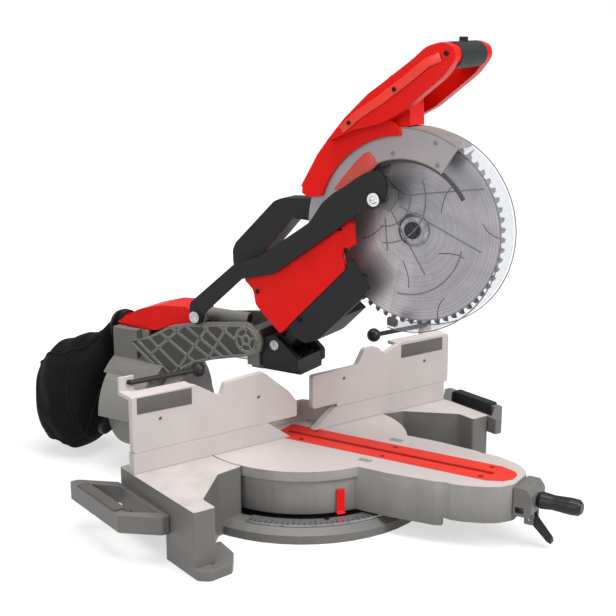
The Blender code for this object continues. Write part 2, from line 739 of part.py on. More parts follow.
def clamp_lever(name, side):
    """A rod with a ball on its end, turning on a pin in the fence's lug."""
    at = (side * CLAMP_PIVOT, CLAMP_Y, CLAMP_Z)
    reach = CLAMP_PIVOT - CLAMP_KNOB
    lever = part(rod(CLAMP_ROD_RADIUS, 0.0, reach, 12), name, BLACK_PLASTIC, None, at, (0.0, -side * QUARTER, 0.0))
    join(lever, ball(KNOB_RADIUS, 16, 10), (side * CLAMP_KNOB, CLAMP_Y, CLAMP_Z))
    pin_low = -CLAMP_ROD_RADIUS - WING_WALL / 2
    join(lever, rod(FENCE_HOLE_RADIUS, pin_low, 0.0, 12), at, (QUARTER, 0.0, 0.0))
    return lever


sliding_fence("left_sliding_fence", -1, LEFT_FENCE_SHARES, FENCE_LEFT_INNER)
sliding_fence("right_sliding_fence", 1, RIGHT_FENCE_SHARES, FENCE_RIGHT_INNER)
clamp_lever("left_fence_clamp_lever", -1)
clamp_lever("right_fence_clamp_lever", 1)


# Carry bars on the base's two ends, each with a moulded grip
def carry_bar(name, side, front, rear, low):
    high = low + BAR_HEIGHT
    wall = WING_OUTER + GAP
    inner = BAR_REACH - BAR_THICKNESS
    outer_plan = [
        (side * wall, -front - FOOT_LENGTH * 0.75),
        (side * (wall + BAR_THICKNESS), -front - FOOT_LENGTH * 0.75),
        (side * BAR_REACH, -front),
        (side * BAR_REACH, rear + FOOT_LENGTH),
        (side * inner, rear + FOOT_LENGTH),
        (side * wall, rear + WING_CORNER),
    ]
    root = wall + BAR_THICKNESS / 2
    hole = [
        (side * root, -front - FOOT_LENGTH * 0.45),
        (side * (root + EDGE), -front - FOOT_LENGTH * 0.45),
        (side * inner, -front + BAR_THICKNESS / 3),
        (side * inner, rear + FOOT_LENGTH - BAR_THICKNESS * 1.4),
        (side * root, rear),
    ]
    bar = part(flat(rounded(outer_plan, EDGE * 2, 2), low, high, [rounded(hole, EDGE * 2, 2)]), name,
               GREY_CAST, None)
    skin = GRIP_SKIN
    grip_outline = [
        (side * (inner - skin - GAP), low + skin),
        (side * (inner - skin - GAP), high + skin + GAP),
        (side * BAR_REACH, high + skin + GAP),
        (side * BAR_REACH, high + GAP),
        (side * (inner - GAP), high + GAP),
        (side * (inner - GAP), low + skin),
    ]
    grip_rear, grip_front = rear + FOOT_LENGTH - BAR_THICKNESS * 2, -front + BAR_THICKNESS
    part(flat(grip_outline, -grip_rear, -grip_front), name.replace("carry_bar", "bar_grip"), BLACK_RUBBER, None,
         turn=(QUARTER, 0.0, 0.0))
    return bar


carry_bar("left_carry_bar", -1, BAR_LEFT_FRONT, BAR_LEFT_REAR, BAR_LEFT_LOW)
carry_bar("right_carry_bar", 1, BAR_RIGHT_FRONT, -BAR_LEFT_REAR * 0.3, BAR_RIGHT_LOW)

# Drawings laid out in plan, with X along the blade, Y to its right and Z up
UPRIGHT = (-QUARTER, 0.0, 0.0)
# Drawings seen from the front, with X to the right, Y up and Z along the blade
LENGTHWISE = (0.0, QUARTER, 0.0)

# Turntable casting: a hollow drum with a front arm, a rear arm and the bevel post
TROUGH_HALF_WIDTH = 0.012
TROUGH_DEPTH = 0.017
PIVOT_RECESS = 0.018
ARM_WIDTH_SHARES = ((0.0, 1.0), (0.28, 1.0), (0.563, 0.917), (0.75, 0.833), (0.87, 0.69), (0.94, 0.555), (1.0, 0.30))
ARM_ROOT = 0.120
GROOVE_RADIUS = 0.022
GROOVE_ALONG = 0.256
GROOVE_SINK = 0.003


def arm_plan():
    right = [(ARM_ROOT + (ARM_FRONT - ARM_ROOT) * along, ARM_HALF_WIDTH * across)
             for along, across in ARM_WIDTH_SHARES]
    left = [(along, -across) for along, across in reversed(right)]
    return right + left


def kerf_plan(grow=0.0):
    half = KERF_HALF_WIDTH + grow
    shoulder = KERF_FRONT - KERF_HALF_WIDTH
    right = [(KERF_REAR - grow, half), (shoulder, half), (shoulder + half * 0.72, half * 0.70),
             (KERF_FRONT + grow, half * 0.28)]
    return right + [(along, -across) for along, across in reversed(right)]


def slot_plan(half, rear, front):
    return rounded([(rear, -half), (front, -half), (front, half), (rear, half)], half, 3)


plate_low = TABLE_TOP - TABLE_PLATE
boss_low = SKIRT_FOOT + TABLE_PLATE + GAP
recess_low = PIVOT_HEAD_LOW - GAP
drum = [
    (PIVOT_RADIUS + GAP, boss_low),
    (PIVOT_BOSS_RADIUS, boss_low),
    (PIVOT_BOSS_RADIUS, plate_low),
    (SKIRT_RADIUS - SKIRT_WALL, plate_low),
    (SKIRT_RADIUS - SKIRT_WALL, SKIRT_FOOT),
    (SKIRT_RADIUS, SKIRT_FOOT),
    (SKIRT_RADIUS, TABLE_TOP - TABLE_RIM),
    (TABLE_RADIUS, TABLE_TOP - TABLE_RIM + EDGE),
    (TABLE_RADIUS, TABLE_TOP),
    (PIVOT_RECESS, TABLE_TOP),
    (PIVOT_RECESS, recess_low),
    (PIVOT_RADIUS + GAP, recess_low),
]
turntable = part(turned(drum, 64, closed=True), "turntable_casting", PALE_CAST, PLANE, turn=UPRIGHT)
join(turntable, flat(rounded(arm_plan(), EDGE * 3, 2), ARM_LOW, TABLE_TOP), turn=UPRIGHT)
cut(turntable, flat(inset(arm_plan(), ARM_WALL), -OVERRUN, plate_low), turn=UPRIGHT)
nose_step = (ARM_FRONT - ARM_HALF_WIDTH * 1.15, ARM_FRONT + OVERRUN)
cut(turntable, block(nose_step, (-ARM_HALF_WIDTH * 1.1, ARM_HALF_WIDTH * 1.1), (0.0, ARM_NOSE_LOW)), turn=UPRIGHT)
for side in (-1, 1):
    groove_across = side * (ARM_HALF_WIDTH * 0.895 + GROOVE_RADIUS - GROOVE_SINK)
    groove = moved(rod(GROOVE_RADIUS, 0.0, TABLE_TOP + OVERRUN, 20), (0.0, 0.0, 0.0))
    cut(turntable, groove, (GROOVE_ALONG, 0.0, -groove_across), UPRIGHT)
rear_low = BASE_RING_TOP + GROOVE_SINK + DETENT_PLATE + OVERRUN
rear_high = TABLE_TOP - TABLE_RIM
rear_block = block((-REAR_ARM_END, -SKIRT_RADIUS * 0.8), (-REAR_ARM_HALF_WIDTH, REAR_ARM_HALF_WIDTH),
                   (rear_low, rear_high))
join(turntable, rear_block, turn=UPRIGHT)
rear_core = block((-REAR_ARM_END + ARM_WALL, -SKIRT_RADIUS * 0.7),
                  (ARM_WALL - REAR_ARM_HALF_WIDTH, REAR_ARM_HALF_WIDTH - ARM_WALL), (0.0, rear_high - ARM_WALL))
cut(turntable, rear_core, turn=UPRIGHT)
post_front, post_rear = -REAR_ARM_END, HUB_FRONT + RUNNING_GAP
post = arc(0.0, TABLE_TOP, REAR_POST_RADIUS, 0.0, TURN / 2, 20)
post += [(-REAR_ARM_HALF_WIDTH, rear_low), (REAR_ARM_HALF_WIDTH, rear_low)]
join(turntable, flat(post, post_rear, post_front + ARM_WALL), turn=LENGTHWISE)
cut(turntable, flat(kerf_plan(GAP), TABLE_TOP - KERF_THICKNESS, TABLE_TOP + OVERRUN), turn=UPRIGHT)
trough = slot_plan(TROUGH_HALF_WIDTH, SLOT_REAR - OVERRUN, SLOT_FRONT + OVERRUN)
cut(turntable, flat(trough, TABLE_TOP - TROUGH_DEPTH, TABLE_TOP), turn=UPRIGHT)
bolt_bore = rod(BEVEL_BOLT_RADIUS + GAP, post_rear - OVERRUN, post_front + ARM_WALL + OVERRUN, 20)
cut(turntable, bolt_bore, (0.0, TABLE_TOP, 0.0), LENGTHWISE)

# Kerf plate
kerf_low = TABLE_TOP - KERF_THICKNESS + GAP
kerf_slot = slot_plan(SLOT_HALF_WIDTH, SLOT_REAR, SLOT_FRONT)
part(flat(kerf_plan(), kerf_low, TABLE_TOP, [kerf_slot]), "kerf_plate", RED_PLASTIC, PLANE, turn=UPRIGHT)

# Mitre pointer: a bent strip screwed to the drum, reading over the detent plate
pointer_low = BASE_RING_TOP + GAP + DETENT_PLATE + RUNNING_GAP
pointer_profile = [
    (SKIRT_RADIUS + GAP, pointer_low + POINTER_HEIGHT),
    (SKIRT_RADIUS + GAP + POINTER_THICKNESS, pointer_low + POINTER_HEIGHT),
    (SKIRT_RADIUS + GAP + POINTER_THICKNESS, pointer_low + POINTER_THICKNESS),
    (TABLE_RADIUS, pointer_low + POINTER_THICKNESS / 2),
    (TABLE_RADIUS, pointer_low),
    (SKIRT_RADIUS + GAP, pointer_low),
]
pointer = part(flat(pointer_profile, -POINTER_WIDTH / 2, POINTER_WIDTH / 2), "mitre_pointer", RED_PLASTIC, PLANE,
               turn=(0.0, POINTER_ANGLE, 0.0))

# Nose bracket on the arm's end, carrying the lock handle and the detent lever
NOSE_POCKET = 0.012
LOCK_STEM_RADIUS = 0.0055
LOCK_HEIGHT = 0.064
nose_rear = ARM_FRONT + GAP
nose_outline = rounded([(nose_rear, NOSE_LOW), (NOSE_FRONT - EDGE * 3, NOSE_LOW), (NOSE_FRONT, NOSE_LOW + EDGE * 4),
                        (NOSE_FRONT, NOSE_HIGH - EDGE * 8), (NOSE_FRONT - EDGE * 6, NOSE_HIGH),
                        (nose_rear, NOSE_HIGH)], EDGE * 2, 2)
nose = part(flat(nose_outline, -NOSE_HALF_WIDTH, NOSE_HALF_WIDTH), "arm_nose_bracket", PALE_CAST, PLANE)
pocket = (nose_rear + EDGE * 2, nose_rear + NOSE_POCKET + EDGE * 2)
cut(nose, block(pocket, (NOSE_LOW + EDGE * 3, LOCK_HEIGHT - LOCK_STEM_RADIUS - EDGE),
                (NOSE_HALF_WIDTH - NOSE_POCKET, NOSE_HALF_WIDTH + OVERRUN)))
LOCK = frame("lock_handle_axis", PLANE, (NOSE_FRONT, LOCK_HEIGHT, 0.0))
lock_turn = (0.0, QUARTER, 0.0)
bore = rod(LOCK_STEM_RADIUS + GAP, -NOSE_POCKET - GAP, OVERRUN, 16)
cut(nose, bore, (NOSE_FRONT, LOCK_HEIGHT, 0.0), lock_turn)
grip_start = RUNNING_GAP
grip_profile = [
    (0.0, grip_start),
    (GRIP_RADIUS * 0.85, grip_start),
    (GRIP_RADIUS, grip_start + GRIP_LENGTH * 0.08),
    (GRIP_RADIUS * 0.86, grip_start + GRIP_LENGTH * 0.35),
    (GRIP_RADIUS * 0.98, grip_start + GRIP_LENGTH * 0.75),
    (GRIP_RADIUS * 0.92, grip_start + GRIP_LENGTH * 0.93),
    (GRIP_RADIUS * 0.60, grip_start + GRIP_LENGTH),
    (0.0, grip_start + GRIP_LENGTH),
]
lock_handle = part(turned(grip_profile, 24), "mitre_lock_handle", BLACK_RUBBER, LOCK,
                   (NOSE_FRONT, LOCK_HEIGHT, 0.0), lock_turn)
join(lock_handle, rod(LOCK_STEM_RADIUS, -NOSE_POCKET, grip_start + EDGE, 16), (NOSE_FRONT, LOCK_HEIGHT, 0.0), lock_turn)

DETENT_LEVER = frame("detent_lever_axis", PLANE, (NOSE_FRONT - WING_WALL, NOSE_LOW - WING_WALL, 0.0))
lever_at = (NOSE_FRONT - WING_WALL, NOSE_LOW - WING_WALL, 0.0)
lever_outline = [
    (-LEVER_THICKNESS * 0.6, LEVER_THICKNESS * 0.6),
    (LEVER_THICKNESS, LEVER_THICKNESS * 0.6),
    (LEVER_LENGTH * 0.69, -LEVER_LENGTH * 0.55),
    (LEVER_LENGTH * 0.71, -LEVER_LENGTH * 0.69),
    (LEVER_LENGTH * 0.57, -LEVER_LENGTH * 0.64),
    (-LEVER_THICKNESS * 0.2, -LEVER_THICKNESS * 0.6),
]
lever = part(flat(rounded(lever_outline, EDGE, 2), -LEVER_WIDTH / 2, LEVER_WIDTH / 2), "detent_release_lever",
             DARK_STEEL, DETENT_LEVER, lever_at)
PIN_RADIUS = 0.0018
cut(lever, rod(PIN_RADIUS + GAP, -LEVER_WIDTH, LEVER_WIDTH, 12), lever_at)
for side in (-1, 1):
    ear = rounded([(lever_at[0] - LEVER_THICKNESS, lever_at[1] - LEVER_THICKNESS),
                   (lever_at[0] + LEVER_THICKNESS, lever_at[1] - LEVER_THICKNESS),
                   (lever_at[0] + LEVER_THICKNESS, NOSE_LOW + OVERRUN),
                   (lever_at[0] - LEVER_THICKNESS, NOSE_LOW + OVERRUN)], EDGE, 1)
    ear_inner, ear_outer = side * (LEVER_WIDTH / 2 + RUNNING_GAP / 2), side * (LEVER_WIDTH / 2 + LEVER_THICKNESS)
    join(nose, flat(ear, min(ear_inner, ear_outer), max(ear_inner, ear_outer)))
cut(nose, rod(PIN_RADIUS + GAP, -LEVER_WIDTH * 1.3, LEVER_WIDTH * 1.3, 12), lever_at)
part(rod(PIN_RADIUS, -LEVER_WIDTH, LEVER_WIDTH, 12), "detent_lever_pin", BARE_STEEL, PLANE, lever_at)

# Bevel hub with the bearing block that carries the rails
STEP_ANGLE = math.radians(3)
hub_split = math.asin((HUB_SPLIT - TABLE_TOP) / HUB_RADIUS)
hub_outline = arc(0.0, TABLE_TOP, HUB_RADIUS, 0.0, hub_split, 7)
hub_outline += arc(0.0, TABLE_TOP, HUB_RADIUS, TURN / 2 - hub_split, TURN / 2, 7)
hub_outline += arc(0.0, TABLE_TOP, HUB_LOWER_RADIUS, TURN / 2 + STEP_ANGLE, TURN - STEP_ANGLE, 20)
HUB_WALL = 0.010
HUB_FACE = 0.015
hub = part(flat(hub_outline, HUB_REAR, HUB_FRONT), "bevel_hub", GREY_CAST, BEVEL, turn=LENGTHWISE)
hub_core = rod(HUB_LOWER_RADIUS - HUB_WALL, HUB_REAR - OVERRUN, HUB_FRONT - HUB_FACE, 32)
cut(hub, hub_core, (0.0, TABLE_TOP, 0.0), LENGTHWISE)
bearing_block = block((-BLOCK_HALF_WIDTH, BLOCK_HALF_WIDTH), (HUB_SPLIT - EDGE / 2, BLOCK_TOP),
                      (BLOCK_REAR, BLOCK_FRONT))
join(hub, bearing_block, turn=LENGTHWISE)
cut(hub, rod(BEVEL_BOLT_RADIUS + GAP, HUB_REAR, HUB_FRONT + OVERRUN, 20), (0.0, TABLE_TOP, 0.0), LENGTHWISE)
bush_outer = RAIL_RADIUS + BUSH_WALL
for side in (-1, 1):
    rail_at = (0.0, RAIL_HEIGHT, side * RAIL_SPREAD)
    bore = rod(bush_outer + GAP, BLOCK_REAR - OVERRUN, BLOCK_FRONT + OVERRUN, 24)
    cut(hub, bore, rail_at, LENGTHWISE)
    ring = [(RAIL_RADIUS + GAP, BLOCK_REAR), (bush_outer, BLOCK_REAR), (bush_outer, BLOCK_FRONT),
            (RAIL_RADIUS + GAP, BLOCK_FRONT)]
    part(turned(ring, 24, closed=True), "left_rail_bush" if side > 0 else "right_rail_bush", BRONZE, BEVEL, rail_at,
         LENGTHWISE)
bolt_head = BEVEL_BOLT_RADIUS * 1.7
bolt_front = post_front + ARM_WALL + RUNNING_GAP
bolt_rear = HUB_REAR - WING_WALL
head_room = rod(bolt_head + RUNNING_GAP, bolt_front - RUNNING_GAP, bolt_front + WING_WALL * 2, 20)
cut(turntable, head_room, (0.0, TABLE_TOP, 0.0), LENGTHWISE)
bevel_bolt_profile = [
    (0.0, bolt_rear),
    (BEVEL_BOLT_RADIUS, bolt_rear),
    (BEVEL_BOLT_RADIUS, bolt_front),
    (bolt_head, bolt_front),
    (bolt_head, bolt_front + WING_WALL),
    (0.0, bolt_front + WING_WALL),
]
part(turned(bevel_bolt_profile, 20), "bevel_pivot_bolt", DARK_STEEL, PLANE, (0.0, TABLE_TOP, 0.0), LENGTHWISE)

# Bevel lock lever on the bolt's rear end
BEVEL_LEVER_LENGTH = 0.078
lever_front = HUB_REAR - RUNNING_GAP
lever_rear = HUB_REAR - WING_WALL - RUNNING_GAP
LOCK_LEVER = frame("bevel_lever_axis", PLANE, (HUB_REAR, TABLE_TOP, 0.0))
lever_body = capsule((0.0, 0.0), BEVEL_BOLT_RADIUS * 1.9, (-BEVEL_LEVER_LENGTH * 0.95, -BEVEL_LEVER_LENGTH * 0.32),
                     BEVEL_BOLT_RADIUS * 0.95)
bevel_lever = part(flat(lever_body, lever_rear - HUB_REAR, lever_front - HUB_REAR), "bevel_lock_lever", BLACK_PLASTIC,
                   LOCK_LEVER, (HUB_REAR, TABLE_TOP, 0.0), LENGTHWISE)
soften(bevel_lever, EDGE, 2)
cut(bevel_lever, rod(BEVEL_BOLT_RADIUS + GAP, -BEVEL_LEVER_LENGTH, BEVEL_LEVER_LENGTH, 20),
    (HUB_REAR, TABLE_TOP, 0.0), LENGTHWISE)

# Slide rails, fixed in the slide arm and running in the hub's bushes
for side in (-1, 1):
    rail = rod(RAIL_RADIUS, WALL_REAR - WALL_THICKNESS * 3, RAIL_FRONT, 24)
    part(rail, "left_slide_rail" if side > 0 else "right_slide_rail", DARK_STEEL, SLIDE,
         (0.0, RAIL_HEIGHT, side * RAIL_SPREAD), LENGTHWISE)

# Slide arm: two ribbed walls, a rear half drum over the hub and a cross block at the front
WALL_SHARES = ((0.0, 0.44), (0.15, 0.55), (0.33, 0.77), (0.50, 0.865), (0.904, 0.99), (0.98, 0.865), (1.0, 0.75),
               (0.983, 0.58), (0.917, 0.535), (0.643, 0.39), (0.50, 0.28), (0.351, 0.09), (0.28, 0.0))
wall_box = ((WALL_REAR, WALL_LOW), (WALL_FRONT, WALL_HIGH + WALL_THICKNESS * 1.5))
wall_outline = rounded(from_shares(WALL_SHARES, *wall_box), WALL_THICKNESS, 3)
slide_arm = part(flat(wall_outline, WALL_LEFT - WALL_THICKNESS, WALL_LEFT), "slide_arm", GREY_CAST, SLIDE)
join(slide_arm, flat(wall_outline, -WALL_LEFT, WALL_THICKNESS - WALL_LEFT))
dome_low = HUB_SPLIT + RUNNING_GAP / 2
dome_angle = math.asin((dome_low - TABLE_TOP) / HUB_RADIUS)
dome = arc(0.0, TABLE_TOP, HUB_RADIUS, dome_angle, TURN / 2 - dome_angle, 18)
dome_rear, dome_front = HUB_REAR - OVERRUN, HUB_FRONT + HUB_WALL
join(slide_arm, flat(dome, dome_rear - HUB_FACE / 3, dome_front), turn=LENGTHWISE)
cheek_half = WALL_LEFT - EDGE
bridge_plate = block((-cheek_half, cheek_half), (RAIL_HEIGHT - RAIL_RADIUS * 3.5, RAIL_HEIGHT + RAIL_RADIUS * 1.6),
                     (dome_rear - HUB_FACE / 4, WALL_REAR + HUB_FACE))
join(slide_arm, bridge_plate, turn=LENGTHWISE)
channel = block((-BLOCK_HALF_WIDTH - OVERRUN, BLOCK_HALF_WIDTH + OVERRUN), (dome_low - OVERRUN, BLOCK_TOP + OVERRUN),
                (BLOCK_REAR - RUNNING_GAP, FRONT_BLOCK_REAR - RUNNING_GAP))
cut(slide_arm, channel, turn=LENGTHWISE)
web_low, web_relief = RAIL_HEIGHT - RAIL_RADIUS * 1.5, RAIL_HEIGHT - RAIL_RADIUS * 0.8
cross = block((WALL_THICKNESS / 2 - WALL_LEFT, WALL_LEFT - WALL_THICKNESS / 2), (web_low, WALL_HIGH),
              (FRONT_BLOCK_REAR, WALL_FRONT - WALL_THICKNESS))
join(slide_arm, cross, turn=LENGTHWISE)
for side in (-1, 1):
    corner = tuple(sorted((side * (RAIL_SPREAD + RAIL_RADIUS * 1.4), side * WALL_LEFT)))
    relief = block(corner, (web_low - OVERRUN, web_relief), (FRONT_BLOCK_REAR - OVERRUN, WALL_FRONT))
    cut(slide_arm, relief, turn=LENGTHWISE)
for side in (-1, 1):
    rail_bore = rod(RAIL_RADIUS + GAP, dome_rear - HUB_WALL, RAIL_FRONT, 24)
    cut(slide_arm, rail_bore, (0.0, RAIL_HEIGHT, side * RAIL_SPREAD), LENGTHWISE)
LINK_LUG_RADIUS = 0.0125
link_rear = (LINK_REAR_ALONG, LINK_REAR_HEIGHT, 0.0)
join(slide_arm, rod(LINK_LUG_RADIUS, WALL_LEFT - WALL_THICKNESS, WALL_LEFT, 20), link_rear)
cut(slide_arm, rod(GUARD_PIN_RADIUS + GAP, 0.0, WALL_LEFT + OVERRUN, 16), link_rear)
boss_at = (WALL_FRONT - WALL_THICKNESS * 3.3, RAIL_HEIGHT + WALL_THICKNESS * 3.9, 0.0)
pockets = []
for index in range(6):
    heading = TURN * index / 6
    reach = WALL_THICKNESS * 1.75
    spot = (boss_at[0] + reach * math.cos(heading), boss_at[1] + reach * math.sin(heading), 0.0)
    pockets.append(moved(rod(WALL_THICKNESS * 0.5, WALL_LEFT - RIB_SINK, WALL_LEFT + OVERRUN, 8), spot))
cut(slide_arm, group(pockets))
RIB_SHARES = (((0.36, 0.72), (0.47, 0.82), (0.50, 0.44), (0.40, 0.22)), ((0.50, 0.83), (0.60, 0.86), (0.64, 0.50),
              (0.535, 0.46)), ((0.63, 0.87), (0.73, 0.89), (0.75, 0.55), (0.675, 0.51)),
              ((0.20, 0.46), (0.33, 0.66), (0.37, 0.22), (0.32, 0.14)))
for shares in RIB_SHARES:
    panel = rounded(from_shares(shares, *wall_box), RIB_WIDTH, 2)
    cut(slide_arm, flat(panel, WALL_LEFT - RIB_SINK, WALL_LEFT + OVERRUN))
    cut(slide_arm, flat(panel, -WALL_LEFT - OVERRUN, RIB_SINK - WALL_LEFT))

# Slide lock knob on the slide arm's right wall
SLIDE_KNOB_RADIUS = 0.014
SLIDE_KNOB_LENGTH = 0.022
slide_knob_at = (WALL_REAR + WALL_THICKNESS * 4.5, RAIL_HEIGHT, -WALL_LEFT - RUNNING_GAP)
SLIDE_KNOB = frame("slide_knob_axis", SLIDE, slide_knob_at)
knob_profile = [
    (0.0, -WALL_THICKNESS),
    (PIN_RADIUS * 1.5, -WALL_THICKNESS),
    (PIN_RADIUS * 1.5, 0.0),
    (SLIDE_KNOB_RADIUS, 0.0),
    (SLIDE_KNOB_RADIUS, SLIDE_KNOB_LENGTH * 0.8),
    (SLIDE_KNOB_RADIUS * 0.7, SLIDE_KNOB_LENGTH),
    (0.0, SLIDE_KNOB_LENGTH),
]
part(turned(knob_profile, 20), "slide_lock_knob", BLACK_PLASTIC, SLIDE_KNOB, slide_knob_at, (TURN / 2, 0.0, 0.0))
cut(slide_arm, rod(PIN_RADIUS * 1.5 + GAP, -WALL_LEFT - OVERRUN, RUNNING_GAP - WALL_LEFT + WALL_THICKNESS, 12),
    (slide_knob_at[0], slide_knob_at[1], 0.0))

# Chop yoke on the rails' front ends
yoke_hub = CHOP_LUG_RADIUS
yoke_rear = WALL_FRONT - WALL_THICKNESS + RUNNING_GAP
ear_outline = rounded([(yoke_rear, web_relief), (RAIL_FRONT + RAIL_RADIUS, web_relief),
                       (RAIL_FRONT + RAIL_RADIUS, RAIL_HEIGHT + RAIL_RADIUS),
                       (CHOP_ALONG + yoke_hub * 0.9, CHOP_HEIGHT + yoke_hub * 0.4),
                       (CHOP_ALONG, CHOP_HEIGHT + yoke_hub), (yoke_rear, CHOP_HEIGHT + yoke_hub * 0.5)], EDGE * 4, 3)
yoke = part(flat(ear_outline, YOKE_HALF - YOKE_EAR, YOKE_HALF), "chop_yoke", BLACK_PLASTIC, SLIDE)
join(yoke, flat(ear_outline, -YOKE_HALF, YOKE_EAR - YOKE_HALF))
saddle_half = YOKE_HALF - YOKE_EAR + EDGE / 2
saddle = block((-saddle_half, saddle_half), (web_low, CHOP_HEIGHT - CHOP_LUG_RADIUS - RUNNING_GAP),
               (yoke_rear + EDGE / 4, RAIL_FRONT + RAIL_RADIUS * 0.9))
join(yoke, saddle, turn=LENGTHWISE)
for side in (-1, 1):
    rail_bore = rod(RAIL_RADIUS + GAP, yoke_rear - OVERRUN, RAIL_FRONT + GAP, 24)
    cut(yoke, rail_bore, (0.0, RAIL_HEIGHT, side * RAIL_SPREAD), LENGTHWISE)
chop_at = (CHOP_ALONG, CHOP_HEIGHT, 0.0)
cut(yoke, rod(CHOP_LUG_RADIUS + RUNNING_GAP, YOKE_EAR - YOKE_HALF, YOKE_HALF - YOKE_EAR, 32), chop_at)
cut(yoke, rod(CHOP_PIN_RADIUS + GAP, -YOKE_HALF - OVERRUN, YOKE_HALF + OVERRUN, 20), chop_at)
part(rod(CHOP_PIN_RADIUS, -YOKE_HALF, YOKE_HALF, 20), "chop_pivot_pin", BARE_STEEL, SLIDE, chop_at)

# Dust chute, duct, collar and bag
CHUTE_SHARES = ((0.0, 0.075), (0.30, 0.65), (0.60, 0.925), (0.93, 1.0), (1.0, 0.95), (1.0, 0.40), (0.70, 0.20),
                (0.54, 0.0), (0.28, 0.0))
chute_low, chute_high = RAIL_HEIGHT + RAIL_RADIUS * 1.6 + GAP, WALL_HIGH + WALL_THICKNESS * 2
chute_box = ((CHUTE_REAR, chute_low), (CHUTE_FRONT - WALL_THICKNESS, chute_high))
chute_outline = from_shares(CHUTE_SHARES, *chute_box)
chute = part(flat(rounded(chute_outline, EDGE * 3, 2), -CHUTE_HALF_WIDTH, CHUTE_HALF_WIDTH), "dust_chute",
             RED_PLASTIC, SLIDE)
chute_middle = chute_low + (chute_high - chute_low) * 0.70
DUCT_WALL = 0.0018
DUCT_FRONT = -0.088
duct_rear = CHUTE_FRONT - WALL_THICKNESS * 4
tunnel = rod(DUCT_RADIUS + GAP, duct_rear, CHUTE_FRONT + OVERRUN, 24)
cut(chute, tunnel, (0.0, chute_middle, 0.0), LENGTHWISE)
SPIGOT_RADIUS = 0.0145
spigot_height = chute_low - SPIGOT_RADIUS * 0.16
channel_height = chute_low + (chute_high - chute_low) * 0.28
spigot_rear = BAG_FRONT - WALL_THICKNESS
spigot_front = dome_rear - HUB_FACE / 4 - GAP
join(chute, rod(SPIGOT_RADIUS, spigot_rear, spigot_front, 24), (0.0, spigot_height, 0.0), LENGTHWISE)
channel = rod(SPIGOT_RADIUS * 0.62, CHUTE_REAR - OVERRUN, duct_rear + OVERRUN, 20)
cut(chute, channel, (0.0, channel_height, 0.0), LENGTHWISE)
outlet = rod(SPIGOT_RADIUS - CHUTE_WALL, spigot_rear - OVERRUN, CHUTE_REAR + EDGE, 20)
cut(chute, outlet, (0.0, spigot_height, 0.0), LENGTHWISE)
duct_ring = [(DUCT_RADIUS - DUCT_WALL, duct_rear + GAP), (DUCT_RADIUS, duct_rear + GAP), (DUCT_RADIUS, DUCT_FRONT),
             (DUCT_RADIUS - DUCT_WALL, DUCT_FRONT)]
part(turned(duct_ring, 24, closed=True), "dust_duct", GREY_CAST, SLIDE, (0.0, chute_middle, 0.0), LENGTHWISE)
collar_inner, collar_outer = SPIGOT_RADIUS + GAP, SPIGOT_RADIUS + GAP + CHUTE_WALL
collar_front = CHUTE_REAR - GAP
collar_ring = [(collar_inner, spigot_rear), (collar_outer, spigot_rear), (collar_outer, collar_front),
               (collar_inner, collar_front)]
part(turned(collar_ring, 24, closed=True), "bag_collar", BLACK_PLASTIC, SLIDE, (0.0, spigot_height, 0.0), LENGTHWISE)
BAG_RINGS = ((0.0, 0.0, 1.0, 0.20, 0.33), (0.11, 0.54, 0.70, 0.60, 0.70), (0.22, 0.83, 0.515, 0.95, 0.90),
             (0.43, 0.96, 0.457, 1.0, 1.0), (0.70, 1.0, 0.433, 0.945, 1.0), (0.91, 1.0, 0.408, 0.78, 0.83),
             (1.0, 1.0, 0.398, 0.49, 0.53))
bag_rings = []
for along, aside, up, tall, wide in BAG_RINGS:
    centre = Vector((spigot_rear - GAP - (spigot_rear - BAG_REAR) * along,
                     BAG_LOW + (spigot_height - BAG_LOW) * up, BAG_OFFSET * aside))
    bag_rings.append(oval_ring(centre, Vector((0.0, 1.0, 0.0)), Vector((0.0, 0.0, 1.0)), BAG_HALF_HEIGHT * tall,
                               BAG_HALF_WIDTH * wide, 28))
part(loft(bag_rings), "dust_bag", BAG_CLOTH, SLIDE)

# Link bar from the slide arm to the lower guard's pin, with its pivot bolt and its ring
LINK_TOP = ((-0.159, 0.258), (-0.157, 0.272), (-0.080, 0.336), (-0.037, 0.352), (0.043, 0.406), (0.062, 0.433),
            (0.079, 0.4475), (0.097, 0.458), (0.113, 0.4695), (0.128, 0.478), (0.143, 0.4805))
LINK_BOTTOM = ((0.154, 0.474), (0.1565, 0.458), (0.152, 0.443), (0.141, 0.4325), (0.120, 0.4265), (0.071, 0.390),
               (-0.016, 0.329), (-0.069, 0.316), (-0.135, 0.258), (-0.140, 0.243), (-0.150, 0.240))
LINK = frame("link_axis", SLIDE, (LINK_REAR_ALONG, LINK_REAR_HEIGHT, 0.0))
link_face = LINK_INNER + LINK_THICKNESS
link_bar = part(flat(rounded(list(LINK_TOP + LINK_BOTTOM), EDGE * 2, 2), LINK_INNER, link_face), "guard_link_bar",
                BLACK_PLASTIC, LINK, (0.0, 0.0, 0.0))
cut(link_bar, rod(GUARD_PIN_RADIUS + GAP, 0.0, link_face + OVERRUN, 16), link_rear)
pin_at = (ARBOR_ALONG + GUARD_PIN_ALONG, ARBOR_HEIGHT + GUARD_PIN_HEIGHT, 0.0)
cut(link_bar, rod(GUARD_PIN_RADIUS * 0.7, 0.0, link_face + OVERRUN, 16), pin_at)
link_bolt_profile = [(0.0, WALL_LEFT - WALL_THICKNESS), (GUARD_PIN_RADIUS, WALL_LEFT - WALL_THICKNESS),
                     (GUARD_PIN_RADIUS, link_face + GAP), (GUARD_PIN_RADIUS * 1.7, link_face + GAP),
                     (GUARD_PIN_RADIUS * 1.7, link_face + LINK_RING_HEIGHT), (0.0, link_face + LINK_RING_HEIGHT)]
part(turned(link_bolt_profile, 16), "link_pivot_bolt", BARE_STEEL, SLIDE, link_rear)
